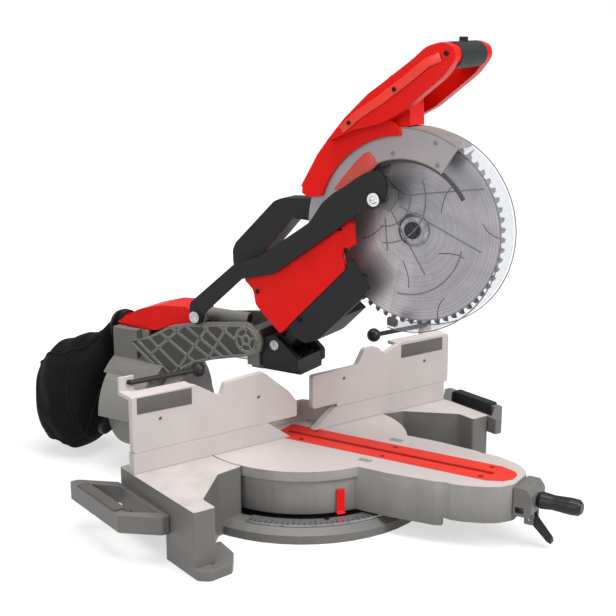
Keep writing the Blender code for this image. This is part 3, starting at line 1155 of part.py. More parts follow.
ring_profile = [(0.0, LINK_INNER), (GUARD_PIN_RADIUS * 0.7 - GAP, LINK_INNER),
                (GUARD_PIN_RADIUS * 0.7 - GAP, link_face + GAP), (LINK_RING_RADIUS, link_face + GAP),
                (LINK_RING_RADIUS, link_face + LINK_RING_HEIGHT), (LINK_RING_RADIUS * 0.6, link_face + LINK_RING_HEIGHT),
                (LINK_RING_RADIUS * 0.5, link_face + LINK_RING_HEIGHT / 2), (0.0, link_face + LINK_RING_HEIGHT / 2)]
part(turned(ring_profile, 20), "link_ring", BARE_STEEL, LINK, pin_at)



def guard_edge(grow, start, end, steps):
    """The upper guard's outer edge about the arbor, swelling from its front to its rear."""
    points = []
    for step in range(steps + 1):
        turn = start + (end - start) * step / steps
        share = min(1.0, max(0.0, (math.degrees(turn) - SWELL_START) / SWELL_SPAN))
        radius = UPPER_RADIUS + grow + UPPER_SWELL * share * share * (3 - 2 * share)
        points.append((radius * math.cos(turn), radius * math.sin(turn)))
    return points


# Saw head: the cast arm below, the moulded housing above it
SWELL_START = 92
SWELL_SPAN = 40
arbor_at = (ARBOR_ALONG, ARBOR_HEIGHT, 0.0)
motor_at = (MOTOR_ALONG, MOTOR_HEIGHT, 0.0)
SWEEP_RADIUS = UPPER_RADIUS + UPPER_SWELL + FLANGE_THICKNESS
ARM_OUTLINE = ((-0.011, 0.241), (0.094, 0.347), (0.099, 0.362), (0.128, 0.323), (0.116, 0.308), (0.050, 0.243),
               (0.030, 0.236), (0.014, 0.243), (-0.012, 0.216), (-0.020, 0.212))
arm_rear_outline = rounded(list(ARM_OUTLINE), EDGE * 4, 3)
head_arm = part(flat(arm_rear_outline, -CHOP_LUG_HALF, HEAD_ARM_LEFT), "head_arm", BLACK_PLASTIC, CHOP)
cut(head_arm, rod(SWEEP_RADIUS, -HEAD_ARM_LEFT, UPPER_LEFT + EDGE, 64), arbor_at)
cut(head_arm, rod(CHOP_LUG_RADIUS * 1.9, -YOKE_HALF - OVERRUN, YOKE_EAR - YOKE_HALF + OVERRUN, 32), chop_at)
lug = rod(CHOP_LUG_RADIUS, -CHOP_LUG_HALF - EDGE / 2, CHOP_LUG_HALF + EDGE / 2, 32)
ear_clear = rod(CHOP_LUG_RADIUS * 2.75, YOKE_HALF - YOKE_EAR - RUNNING_GAP, HEAD_ARM_LEFT + OVERRUN, 32)
cut(head_arm, ear_clear, chop_at)
join(head_arm, lug, chop_at)
cut(head_arm, rod(CHOP_PIN_RADIUS + GAP, -CHOP_LUG_HALF - OVERRUN, CHOP_LUG_HALF + OVERRUN, 20), chop_at)

HOUSING_SHARES = ((0.0, 0.42), (0.08, 0.45), (0.23, 0.49), (0.29, 0.51), (0.43, 0.64), (0.755, 0.87), (0.885, 1.0),
                  (1.0, 0.90), (1.0, 0.85), (0.837, 0.70), (0.886, 0.605), (0.325, 0.008), (0.105, 0.22),
                  (0.087, 0.337))
housing_outline = rounded(from_shares(HOUSING_SHARES, HOUSING_LOW, HOUSING_HIGH), EDGE * 4, 3)
housing = part(flat(housing_outline, -HOUSING_RIGHT, HOUSING_LEFT), "motor_housing", RED_PLASTIC, CHOP)
cut(housing, flat(rounded(inset(list(ARM_OUTLINE), -GAP), EDGE * 4, 3), -HEAD_ARM_LEFT, HOUSING_LEFT + OVERRUN))
cut(housing, rod(SWEEP_RADIUS, -HEAD_ARM_LEFT, UPPER_LEFT + EDGE, 64), arbor_at)
cut(housing, rod(HOUSING_CLEAR, -HEAD_ARM_LEFT, HOUSING_LEFT + OVERRUN, 48), arbor_at)
cut(housing, rod(CHOP_LUG_RADIUS * 1.5, -HEAD_ARM_LEFT, HOUSING_LEFT + OVERRUN, 32), chop_at)
cut(housing, rod(MOTOR_RADIUS + GAP, -HOUSING_RIGHT - OVERRUN, HOUSING_LEFT - CHUTE_WALL * 2, 32), motor_at)
MOTOR_SHAFT_RADIUS = 0.004
motor_profile = [
    (0.0, -HOUSING_RIGHT),
    (MOTOR_RADIUS, -HOUSING_RIGHT),
    (MOTOR_RADIUS, HOUSING_LEFT - CHUTE_WALL * 3),
    (0.0, HOUSING_LEFT - CHUTE_WALL * 3),
]
motor = part(turned(motor_profile, 32), "motor", DARK_STEEL, CHOP, motor_at)
pulley_high = -PLATE_LEFT - PLATE_THICKNESS - RUNNING_GAP
pulley_low = pulley_high - PULLEY_WIDTH
cut(motor, rod(MOTOR_SHAFT_RADIUS + GAP, -HOUSING_RIGHT - OVERRUN, 0.0, 16), motor_at)

# Back plate that ties the housing to the arbor nose, with the battery dock on its rear
plate_low, plate_high = -PLATE_LEFT - PLATE_THICKNESS, -PLATE_LEFT
plate_outline = capsule((ARBOR_ALONG, ARBOR_HEIGHT), PLATE_ARBOR_RADIUS, (MOTOR_ALONG, MOTOR_HEIGHT),
                        PLATE_MOTOR_RADIUS + WING_WALL)
back_plate = part(flat(plate_outline, plate_low, plate_high), "drive_back_plate", BLACK_PLASTIC, CHOP)
dock_at = (MOTOR_ALONG - DOCK_REACH, MOTOR_HEIGHT - DOCK_REACH, 0.0)
dock_low = -WALL_LEFT - RUNNING_GAP
join(back_plate, rod(DOCK_RADIUS, dock_low, plate_high, 32), dock_at)
nose_low = -FLANGE_THICKNESS - OVERRUN
join(back_plate, rod(ARBOR_NOSE_RADIUS, plate_high - OVERRUN, nose_low, 40), arbor_at)
cut(back_plate, rod(ARBOR_RADIUS + GAP * 2, plate_low - OVERRUN, nose_low + OVERRUN, 24), arbor_at)
cut(back_plate, rod(MOTOR_SHAFT_RADIUS + GAP, plate_low - OVERRUN, plate_high + OVERRUN, 16), motor_at)

# Belt drive: two pulleys, a belt round them and the cover
MOTOR_AXIS = frame("motor_axis", CHOP, motor_at)
motor_pulley = part(rod(MOTOR_PULLEY_RADIUS, pulley_low, pulley_high, 24), "motor_pulley", BARE_STEEL, MOTOR_AXIS,
                    motor_at)
join(motor_pulley, rod(MOTOR_SHAFT_RADIUS, pulley_low, -GAP, 16), motor_at)
arbor_pulley = part(rod(ARBOR_PULLEY_RADIUS, pulley_low, pulley_high, 28), "arbor_pulley", BARE_STEEL, ARBOR, arbor_at)
cut(arbor_pulley, rod(ARBOR_RADIUS + GAP, pulley_low - OVERRUN, pulley_high + OVERRUN, 24), arbor_at)
inner_loop = capsule(arbor_at[:2], ARBOR_PULLEY_RADIUS + GAP, motor_at[:2], MOTOR_PULLEY_RADIUS + GAP)
outer_loop = capsule(arbor_at[:2], ARBOR_PULLEY_RADIUS + GAP + BELT_THICKNESS, motor_at[:2],
                     MOTOR_PULLEY_RADIUS + GAP + BELT_THICKNESS)
part(flat(outer_loop, pulley_low + EDGE, pulley_high - EDGE, [inner_loop]), "drive_belt", BLACK_RUBBER, CHOP)
cover_low = plate_low - COVER_DEPTH
cover_outline = capsule(arbor_at[:2], PLATE_ARBOR_RADIUS - OVERRUN, motor_at[:2], PLATE_MOTOR_RADIUS)
cover_core = capsule(arbor_at[:2], PLATE_ARBOR_RADIUS - OVERRUN - COVER_WALL, motor_at[:2],
                     PLATE_MOTOR_RADIUS - COVER_WALL)
cover = part(flat(cover_outline, cover_low, plate_low - GAP), "belt_cover", BLACK_PLASTIC, CHOP)
cut(cover, flat(cover_core, cover_low + COVER_WALL, plate_low + OVERRUN))

# Arbor, blade, its two flanges and the arbor bolt
TIP = TURN / BLADE_TEETH
blade_outline = []
for tooth in range(BLADE_TEETH):
    start = -TIP * tooth
    for lag, depth_share in ((0.0, 0.0), (0.38, 0.22), (0.55, 1.0), (0.86, 0.92)):
        radius = BLADE_RADIUS - TOOTH_DEPTH * depth_share
        heading = start - TIP * lag
        blade_outline.append((radius * math.cos(heading), radius * math.sin(heading)))
bore_edge = arc(0.0, 0.0, BLADE_BORE, 0.0, TURN * 23 / 24, 23)
blade = part(flat(blade_outline, -BLADE_THICKNESS / 2, BLADE_THICKNESS / 2, [bore_edge]), "saw_blade", BARE_STEEL,
             ARBOR, arbor_at)
flange_seat = BLADE_THICKNESS / 2 + GAP
inner_flange = [(ARBOR_RADIUS + GAP, -flange_seat - FLANGE_THICKNESS), (FLANGE_RADIUS * 0.8,
                -flange_seat - FLANGE_THICKNESS), (FLANGE_RADIUS, -flange_seat - FLANGE_THICKNESS / 2),
                (FLANGE_RADIUS, -flange_seat), (ARBOR_RADIUS + GAP, -flange_seat)]
outer_flange = [(radius, -height) for radius, height in inner_flange]
part(turned(inner_flange, 32, closed=True), "inner_blade_flange", BARE_STEEL, ARBOR, arbor_at)
part(turned(outer_flange, 32, closed=True), "outer_blade_flange", BARE_STEEL, ARBOR, arbor_at)
arbor_shaft = part(rod(ARBOR_RADIUS - GAP, pulley_low - EDGE, flange_seat + FLANGE_THICKNESS, 24), "arbor_shaft", DARK_STEEL,
                   ARBOR, arbor_at)
bolt_seat = flange_seat + FLANGE_THICKNESS + GAP
SHANK_RADIUS = 0.004
cut(arbor_shaft, rod(SHANK_RADIUS + GAP, -ARBOR_NOSE_RADIUS, bolt_seat, 16), arbor_at)
bolt_head_high = bolt_seat + ARBOR_BOLT_HEAD
arbor_bolt = part(rod(ARBOR_BOLT_RADIUS, bolt_seat + EDGE, bolt_head_high, 6), "arbor_bolt", DARK_STEEL, ARBOR, arbor_at)
join(arbor_bolt, rod(ARBOR_BOLT_RADIUS * 1.35, bolt_seat, bolt_seat + EDGE * 1.5, 24), arbor_at)
join(arbor_bolt, rod(SHANK_RADIUS, -ARBOR_NOSE_RADIUS + OVERRUN, bolt_seat + EDGE, 16), arbor_at)

# Upper blade guard
UPPER_HUB = 0.045
guard_outline = guard_edge(0.0, UPPER_FRONT_ANGLE, UPPER_REAR_ANGLE, 36)
guard_outline += arc(0.0, 0.0, UPPER_HUB, UPPER_REAR_ANGLE, UPPER_FRONT_ANGLE + TURN, 14)
upper_guard = part(flat(guard_outline, -UPPER_RIGHT, UPPER_LEFT), "upper_blade_guard", PALE_CAST, CHOP, arbor_at)
lip_start, lip_end = UPPER_FRONT_ANGLE + STEP_ANGLE / 8, UPPER_FRONT_ANGLE + STEP_ANGLE * 3
lip_reach = UPPER_RADIUS + UPPER_LIP
lip_outline = [(lip_reach * math.cos(lip_start), lip_reach * math.sin(lip_start))]
lip_outline += arc(0.0, 0.0, UPPER_RADIUS - UPPER_WALL / 2, lip_end, lip_start, 3)
join(upper_guard, flat(lip_outline, UPPER_LEFT - UPPER_WALL + EDGE / 4, UPPER_LEFT - GAP), arbor_at)
cut(upper_guard, rod(UPPER_RADIUS - UPPER_WALL, UPPER_WALL - UPPER_RIGHT, UPPER_LEFT - UPPER_WALL, 64), arbor_at)
cut(upper_guard, rod(UPPER_WINDOW, 0.0, UPPER_LEFT + OVERRUN, 56), arbor_at)
front_relief = arc(0.0, 0.0, UPPER_RADIUS + UPPER_LIP, UPPER_FRONT_ANGLE - STEP_ANGLE,
                   QUARTER + STEP_ANGLE / 2, 10) + [(-EDGE, UPPER_HUB * 1.33)]
cut(upper_guard, flat(front_relief, -UPPER_RIGHT - OVERRUN, -FLANGE_THICKNESS * 2), arbor_at)
cut(upper_guard, rod(ARBOR_NOSE_RADIUS + GAP, -UPPER_RIGHT - OVERRUN, 0.0, 40), arbor_at)

# Lower blade guard: two clear walls and a rim
GUARD = frame("lower_guard_axis", CHOP, arbor_at)
LOWER_HUB = 0.040
PIN_LOBE = 0.072
pin_heading = math.atan2(GUARD_PIN_HEIGHT, GUARD_PIN_ALONG)
pin_reach = math.hypot(GUARD_PIN_HEIGHT, GUARD_PIN_ALONG)
left_outline = arc(0.0, 0.0, LOWER_RADIUS, LOWER_BOTTOM_ANGLE, LOWER_TOP_ANGLE, 40)
left_outline += arc(0.0, 0.0, PIN_LOBE, LOWER_TOP_ANGLE + QUARTER / 8, pin_heading + QUARTER / 8, 6)
left_outline += arc(0.0, 0.0, LOWER_HUB, pin_heading + QUARTER / 2, LOWER_BOTTOM_ANGLE + TURN, 8)
lower_guard = part(flat(left_outline, -LOWER_RIGHT, LOWER_LEFT), "lower_blade_guard", CLEAR_PLASTIC, GUARD, arbor_at)
cut(lower_guard, rod(LOWER_RADIUS - LOWER_WALL, LOWER_WALL - LOWER_RIGHT, LOWER_LEFT - LOWER_WALL, 64), arbor_at)
cut(lower_guard, rod(ARBOR_NOSE_RADIUS + GAP * 2, -LOWER_RIGHT - OVERRUN, 0.0, 40), arbor_at)
guard_pin_place = (pin_at[0], pin_at[1], 0.0)
cut(lower_guard, rod(GUARD_PIN_RADIUS + GAP, 0.0, LOWER_LEFT + OVERRUN, 16), guard_pin_place)
guard_pin_profile = [(0.0, LOWER_LEFT - LOWER_WALL * 2), (GUARD_PIN_RADIUS * 1.6, LOWER_LEFT - LOWER_WALL * 2),
                     (GUARD_PIN_RADIUS * 1.6, LOWER_LEFT - LOWER_WALL - GAP),
                     (GUARD_PIN_RADIUS, LOWER_LEFT - LOWER_WALL - GAP), (GUARD_PIN_RADIUS, LINK_INNER - RUNNING_GAP),
                     (0.0, LINK_INNER - RUNNING_GAP)]
part(turned(guard_pin_profile, 16), "lower_guard_pin", BARE_STEEL, GUARD, guard_pin_place)

# Battery pack and its slide onto the dock
BATTERY_TURN = math.radians(45)
battery_at = (BATTERY_ALONG, BATTERY_HEIGHT, 0.0)
BATTERY = frame("battery_axis", CHOP, battery_at)
battery_low = dock_low - GAP - BATTERY_DEPTH
battery_body = block((-BATTERY_LENGTH / 2, BATTERY_LENGTH / 2), (-BATTERY_WIDTH / 2, BATTERY_WIDTH / 2),
                     (battery_low, dock_low - GAP))
battery = soften(part(battery_body, "battery_pack", BLACK_PLASTIC, BATTERY, battery_at, (0.0, 0.0, BATTERY_TURN)),
                 EDGE * 4, 3)
corner = (-BATTERY_LENGTH / 2 - OVERRUN, -BATTERY_WIDTH / 2 - OVERRUN)
chamfer = BATTERY_CHAMFER + OVERRUN * 2
corner_plan = [corner, (corner[0] + chamfer, corner[1]), (corner[0], corner[1] + chamfer)]
cut(battery, flat(corner_plan, battery_low - OVERRUN, battery_low + BATTERY_DEPTH * 0.42), battery_at,
    (0.0, 0.0, BATTERY_TURN))

# Main handle: a horn seated on the guard and a transverse loop with a grip bar
HORN_OUTER = ((0.016, 0.4495), (0.042, 0.494), (0.056, 0.512), (0.087, 0.546), (0.132, 0.584), (0.150, 0.599),
              (0.166, 0.590), (0.176, 0.570), (0.178, 0.537))
horn_inner = [(ARBOR_ALONG + across, ARBOR_HEIGHT + up)
              for across, up in guard_edge(GAP, QUARTER, math.radians(160), 18)]
horn_centre = HORN_HALF_WIDTH / 2
handle = part(flat(list(HORN_OUTER) + horn_inner, horn_centre - HORN_HALF_WIDTH, horn_centre + HORN_HALF_WIDTH),
              "main_handle", RED_PLASTIC, CHOP)
YOKE_OUTLINE = ((0.100, 0.549), (0.130, 0.577), (0.152, 0.592), (0.164, 0.584), (0.166, 0.566), (0.145, 0.5505),
                (0.118, 0.542))
yoke_half = LOOP_HALF_WIDTH - EDGE
join(handle, flat(rounded(list(YOKE_OUTLINE), EDGE * 4, 3), -yoke_half, yoke_half))
ROOT_RELIEF = ((0.118, 0.530), (0.180, 0.530), (0.180, 0.600), (0.160, 0.586), (0.138, 0.566))
cut(handle, flat(list(ROOT_RELIEF), -yoke_half - OVERRUN, -yoke_half / 4))
SIDE_OUTLINE = ((0.068, 0.512), (0.098, 0.547), (0.144, 0.586), (0.191, 0.620), (0.210, 0.636), (0.231, 0.642),
                (0.247, 0.636), (0.250, 0.622), (0.233, 0.600), (0.178, 0.556), (0.150, 0.541), (0.110, 0.531))
for side in (-1, 1):
    inner_face, outer_face = side * (LOOP_HALF_WIDTH - LOOP_THICKNESS), side * LOOP_HALF_WIDTH
    join(handle, flat(rounded(list(SIDE_OUTLINE), EDGE * 5, 3), min(inner_face, outer_face),
                      max(inner_face, outer_face)))
CHEEK_OUTLINE = ((0.034, 0.437), (0.0235, 0.4415), (0.0235, 0.451), (0.034, 0.4715), (0.048, 0.4945), (0.068, 0.519),
                 (0.088, 0.541), (0.112, 0.552), (0.140, 0.549), (0.160, 0.540), (0.1675, 0.5315))
cheek_inner = arc(ARBOR_ALONG, ARBOR_HEIGHT, UPPER_RADIUS - CHEEK_LAP, math.radians(92), math.radians(161), 16)
join(handle, flat(list(CHEEK_OUTLINE) + cheek_inner, UPPER_LEFT + GAP, UPPER_LEFT + CHEEK_DEPTH))
RISER_OUTLINE = ((0.025, 0.4505), (0.0345, 0.471), (0.0485, 0.494), (0.0685, 0.5183), (0.0885, 0.540), (0.112, 0.551),
                 (0.1395, 0.548), (0.158, 0.540))
riser_inner = [(ARBOR_ALONG + across, ARBOR_HEIGHT + up)
               for across, up in guard_edge(GAP * 2, math.radians(95), math.radians(158), 14)]
riser_low = horn_centre + HORN_HALF_WIDTH - OVERRUN
join(handle, flat(list(RISER_OUTLINE) + riser_inner, riser_low, UPPER_LEFT + GAP + EDGE))
grip_at = (HANDLE_TOP_ALONG - EDGE, HANDLE_TOP_HEIGHT + EDGE, 0.0)
grip_half = LOOP_HALF_WIDTH - LOOP_THICKNESS - GAP
grip_bar = part(rod(GRIP_BAR_RADIUS, -grip_half, grip_half, 28), "handle_grip_bar", BLACK_RUBBER, CHOP, grip_at)
TRIGGER_HALF_WIDTH = 0.022
TRIGGER_DEPTH = 0.009
TRIGGER_LENGTH = 0.020
trigger_pivot = (grip_at[0] - GRIP_BAR_RADIUS * 0.55, grip_at[1] - GRIP_BAR_RADIUS * 0.35, 0.0)
TRIGGER = frame("trigger_axis", CHOP, trigger_pivot)
trigger_outline = rounded([(-TRIGGER_DEPTH * 1.6, -TRIGGER_LENGTH * 0.75), (-TRIGGER_DEPTH * 0.3, -TRIGGER_LENGTH * 0.5),
                           (TRIGGER_DEPTH * 0.2, TRIGGER_DEPTH * 0.4), (-TRIGGER_DEPTH * 0.6, TRIGGER_DEPTH * 0.5),
                           (-TRIGGER_DEPTH * 1.9, -TRIGGER_LENGTH * 0.3)], EDGE, 2)
part(flat(trigger_outline, -TRIGGER_HALF_WIDTH, TRIGGER_HALF_WIDTH), "trigger", BLACK_PLASTIC, TRIGGER, trigger_pivot)
trigger_side = block((-TRIGGER_LENGTH * 1.3, TRIGGER_DEPTH * 0.35), (-TRIGGER_LENGTH * 1.3, TRIGGER_DEPTH * 0.75),
                     (-TRIGGER_HALF_WIDTH - RUNNING_GAP, TRIGGER_HALF_WIDTH + RUNNING_GAP))
cut(grip_bar, trigger_side, trigger_pivot)
LOCK_OFF_RADIUS = 0.0055
LOCK_OFF_HEIGHT = 0.005
lock_off_at = (grip_at[0], grip_at[1] + GRIP_BAR_RADIUS, 0.0)
LOCK_OFF = frame("lock_off_axis", CHOP, lock_off_at)
lock_off_turn = (-QUARTER, 0.0, 0.0)
part(rod(LOCK_OFF_RADIUS, -LOCK_OFF_HEIGHT, LOCK_OFF_HEIGHT, 16), "lock_off_button", BLACK_PLASTIC, LOCK_OFF,
     lock_off_at, lock_off_turn)
cut(grip_bar, rod(LOCK_OFF_RADIUS + GAP, -LOCK_OFF_HEIGHT - LOCK_OFF_TRAVEL - RUNNING_GAP, LOCK_OFF_HEIGHT, 16),
    lock_off_at, lock_off_turn)

# Carry handle bridging the housing and the guard
CARRY_OUTLINE = ((-0.070, 0.3164), (-0.096, 0.330), (-0.097, 0.351), (-0.092, 0.362), (-0.027, 0.426), (-0.015, 0.431),
                 (0.019, 0.433), (0.046, 0.430), (0.046, 0.403), (0.003, 0.405), (-0.050, 0.347), (-0.050, 0.3235))
carry_low, carry_high = CARRY_LEFT - CARRY_HALF_WIDTH * 2, CARRY_LEFT
carry = part(flat(rounded(list(CARRY_OUTLINE), EDGE * 3, 3), carry_low, carry_high), "carry_handle", BLACK_PLASTIC, CHOP)
cut(carry, rod(UPPER_RADIUS + UPPER_SWELL + GAP, carry_low - OVERRUN, carry_high + OVERRUN, 64), arbor_at)
cut(carry, flat(rounded(inset(from_shares(HOUSING_SHARES, HOUSING_LOW, HOUSING_HIGH), -GAP), EDGE * 4, 3),
                carry_low - OVERRUN, carry_high + OVERRUN))

# Head lock pin in the yoke
HEAD_PIN_RADIUS = 0.003
HEAD_PIN_TRAVEL = 0.010
head_pin_at = (CHOP_ALONG - CHOP_LUG_RADIUS * 0.35, CHOP_HEIGHT - CHOP_LUG_RADIUS * 0.62, -YOKE_HALF)
HEAD_PIN = frame("head_pin_axis", SLIDE, head_pin_at)
head_pin_profile = [(0.0, -WING_WALL), (HEAD_PIN_RADIUS, -WING_WALL), (HEAD_PIN_RADIUS, GAP),
                    (HEAD_PIN_RADIUS * 2.5, GAP), (HEAD_PIN_RADIUS * 2.5, WING_WALL), (0.0, WING_WALL)]
part(turned(head_pin_profile, 16), "head_lock_pin", DARK_STEEL, HEAD_PIN, head_pin_at, (TURN / 2, 0.0, 0.0))
cut(yoke, rod(HEAD_PIN_RADIUS + GAP, -YOKE_HALF - OVERRUN, WING_WALL - YOKE_HALF + RUNNING_GAP, 12),
    (head_pin_at[0], head_pin_at[1], 0.0))
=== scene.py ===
"""Looks of the cordless mitre saw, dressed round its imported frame.

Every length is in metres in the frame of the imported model: the bench is z = 0 and +Z is up.
Pieces of the turned table and of the saw head are placed in the plane of the blade: a runs along
the blade to its front, z is up, and l is to the left of the blade."""

import math

import bmesh
import bpy
from mathutils import Matrix, Vector

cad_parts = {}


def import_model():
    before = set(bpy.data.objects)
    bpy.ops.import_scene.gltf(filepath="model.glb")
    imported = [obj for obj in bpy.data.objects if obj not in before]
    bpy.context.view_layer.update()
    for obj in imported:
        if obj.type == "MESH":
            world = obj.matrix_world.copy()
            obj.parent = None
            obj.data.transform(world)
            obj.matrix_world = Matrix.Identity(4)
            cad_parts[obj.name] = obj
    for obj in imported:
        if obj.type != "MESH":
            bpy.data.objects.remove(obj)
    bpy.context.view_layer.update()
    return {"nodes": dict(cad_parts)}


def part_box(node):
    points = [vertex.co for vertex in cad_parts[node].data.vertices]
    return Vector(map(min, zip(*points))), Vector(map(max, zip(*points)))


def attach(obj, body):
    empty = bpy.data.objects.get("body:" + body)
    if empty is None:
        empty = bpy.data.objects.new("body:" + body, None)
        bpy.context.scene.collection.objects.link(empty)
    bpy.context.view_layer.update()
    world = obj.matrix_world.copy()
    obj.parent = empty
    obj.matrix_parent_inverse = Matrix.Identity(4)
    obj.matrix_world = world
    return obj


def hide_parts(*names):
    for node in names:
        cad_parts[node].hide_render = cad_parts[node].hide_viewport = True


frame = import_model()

NODES = frame["nodes"]
TURN = 2 * math.pi
MM = 0.001

# Places that the CAD gives: the photographed mitre, the table's top and the arbor in the blade's plane
MITRE = math.radians(22.5)
TABLE_TOP = 0.087
ARBOR = (0.172, 0.400)

# How far a flat piece is sunk in the face that carries it, and how its edges are broken
SINK = 0.2 * MM
SOFT_EDGE = 0.3 * MM


def world(a, z, l=0.0):
    """A point of the blade's plane, set l to its left."""
    return Vector((
        a * math.sin(MITRE) - l * math.cos(MITRE),
        -a * math.cos(MITRE) - l * math.sin(MITRE),
        z,
    ))


ALONG = world(1.0, 0.0)
LEFT = world(0.0, 0.0, 1.0)
UP = Vector((0.0, 0.0, 1.0))
PLANE_TO_WORLD = Matrix((
    (ALONG.x, UP.x, LEFT.x, 0.0),
    (ALONG.y, UP.y, LEFT.y, 0.0),
    (ALONG.z, UP.z, LEFT.z, 0.0),
    (0.0, 0.0, 0.0, 1.0),
))
FENCE_TO_WORLD = Matrix((
    (1.0, 0.0, 0.0, 0.0),
    (0.0, 0.0, -1.0, 0.0),
    (0.0, 1.0, 0.0, 0.0),
    (0.0, 0.0, 0.0, 1.0),
))
FLOOR_TO_WORLD = Matrix.Identity(4)


# Colours and nodes

def linear(code):
    """An sRGB hex colour as linear light."""
    values = [int(code[i:i + 2], 16) / 255 for i in (0, 2, 4)]
    return tuple(v / 12.92 if v <= 0.04045 else ((v + 0.055) / 1.055) ** 2.4 for v in values) + (1.0,)


def add(tree, kind, inputs=(), **settings):
    """One node with its settings.

    An input is a number, a colour's hex code, a node to link from, or a (node, output) pair."""
    node = tree.nodes.new("ShaderNode" + kind)
    for key, value in settings.items():
        setattr(node, key, value)
    for key, value in dict(inputs).items():
        if isinstance(key, str):
            socket = next(s for s in node.inputs if s.enabled and s.name == key)
        else:
            socket = node.inputs[key]
        if isinstance(value, bpy.types.Node):
            tree.links.new(next(s for s in value.outputs if s.enabled), socket)
        elif isinstance(value, tuple) and isinstance(value[0], bpy.types.Node):
            tree.links.new(value[0].outputs[value[1]], socket)
        else:
            socket.default_value = linear(value) if isinstance(value, str) else value
    return node


# Settings that many nodes share: a mix of colours, and the middle band of a noise's values
COLOURS = {"data_type": "RGBA"}
BAND = {"From Min": 0.3, "From Max": 0.7}
GRAIN_ROUGH = 0.55


def material_start(name):
    """A new empty material, its tree, and coordinates that stay with the piece as its body moves."""
    made = bpy.data.materials.new(name)
    made.use_nodes = True
    tree = made.node_tree
    tree.nodes.clear()
    return made, tree, (add(tree, "TexCoord"), "Object")


def clouds(tree, place, size, detail, low, high):
    """Soft patches about size metres across, that run from low to high."""
    noise = add(tree, "TexNoise", {
        "Vector": place, "Scale": 1 / size, "Detail": detail, "Roughness": GRAIN_ROUGH})
    return add(tree, "MapRange", {"Value": noise, **BAND, "To Min": low, "To Max": high})


def worn_and_lit_edges(tree, soft, share):
    """Grows to share where the bevelled normal parts from the flat one, which is along an edge."""
    shape = add(tree, "NewGeometry")
    match = add(tree, "VectorMath", {0: soft, 1: (shape, "Normal")}, operation="DOT_PRODUCT")
    return add(tree, "MapRange", {"Value": match, "From Min": 0.995, "From Max": 0.90, "To Max": share})


def looking_up(tree, start):
    """From 0 on a steep face to 1 on a level one."""
    facing = add(tree, "SeparateXYZ", {"Vector": (add(tree, "NewGeometry"), "True Normal")})
    return add(tree, "MapRange", {"Value": (facing, "Z"), "From Min": start, "From Max": 0.9})


def about_arbor(tree, place):
    """Coordinates of the blade's plane about the arbor: X along, Y up, Z to the right."""
    turned = add(tree, "Mapping", {"Vector": place, "Rotation": (0.0, 0.0, math.pi / 2 - MITRE)})
    parts = add(tree, "SeparateXYZ", {"Vector": turned})
    along = add(tree, "Math", {0: (parts, "X"), 1: ARBOR[0]}, operation="SUBTRACT")
    up = add(tree, "Math", {0: (parts, "Z"), 1: ARBOR[1]}, operation="SUBTRACT")
    return add(tree, "CombineXYZ", {"X": along, "Y": up, "Z": (parts, "Y")})


def turning_marks(tree, place, apart, detail):
    """The distance from the axis that Z gives, and the rings that a tool leaves about it."""
    parts = add(tree, "SeparateXYZ", {"Vector": place})
    flat = add(tree, "CombineXYZ", {"X": (parts, "X"), "Y": (parts, "Y")})
    reach = add(tree, "VectorMath", {0: flat}, operation="LENGTH")
    outward = add(tree, "CombineXYZ", {"X": reach})
    rings = add(tree, "TexNoise", {"Vector": outward, "Scale": 1 / apart, "Detail": detail})
    return reach, rings


def cast_paint(name, side, top, dark, grain_size=1.6 * MM, edge="D8D2CE", rough=0.44,
               edge_share=0.35, milled_and_lit_above=None):
    """Sand-cast aluminium under satin powder coat.

    It gives the eye soft lumps of the casting, orange peel and paler edges, partly worn and partly painted
    highlight. Faces that look up take the top colour and steep ones the side colour, which paints the light
    and shade that fall on them, and only above a height where milled_and_lit_above gives one."""
    made, tree, place = material_start(name)
    soft = add(tree, "Bevel", {"Radius": 1.1 * MM}, samples=4)
    upward = looking_up(tree, 0.55)
    if milled_and_lit_above is not None:
        height = add(tree, "SeparateXYZ", {"Vector": place})
        above = add(tree, "Math", {0: (height, "Z"), 1: milled_and_lit_above}, operation="GREATER_THAN")
        upward = add(tree, "Math", {0: upward, 1: above}, operation="MULTIPLY")
    # The top and side colours paint the light and shade that fall differently on level and steep faces;
    # above the given height the top colour also stands for milled metal.
    face = add(tree, "Mix", {"Factor": upward, "A": side, "B": top}, **COLOURS)
    tone = add(tree, "Mix", {
        "Factor": clouds(tree, place, 45 * MM, 4.0, 0.0, 0.25), "A": face, "B": dark}, **COLOURS)
    flecked = add(tree, "Mix", {
        "Factor": clouds(tree, place, 2.2 * MM, 2.0, 0.0, 0.09), "A": tone, "B": dark}, **COLOURS)
    colour = add(tree, "Mix", {
        "Factor": worn_and_lit_edges(tree, soft, edge_share), "A": flecked, "B": edge}, **COLOURS)
    peel, lumps = (add(tree, "TexNoise", {
        "Vector": place, "Scale": 1 / size, "Detail": 2.0, "Roughness": GRAIN_ROUGH})
        for size in (grain_size, 14 * MM))
    bumped = add(tree, "Bump", {"Height": peel, "Strength": 0.16, "Distance": 0.25 * MM, "Normal": soft})
    bumped = add(tree, "Bump", {"Height": lumps, "Strength": 0.14, "Distance": 0.6 * MM, "Normal": bumped})
    satin = add(tree, "MapRange", {"Value": peel, **BAND, "To Min": rough - 0.05, "To Max": rough + 0.10})
    shader = add(tree, "BsdfPrincipled", {
        "Base Color": colour, "Normal": bumped, "IOR": 1.5, "Roughness": satin})
    add(tree, "OutputMaterial", {"Surface": shader})
    return made


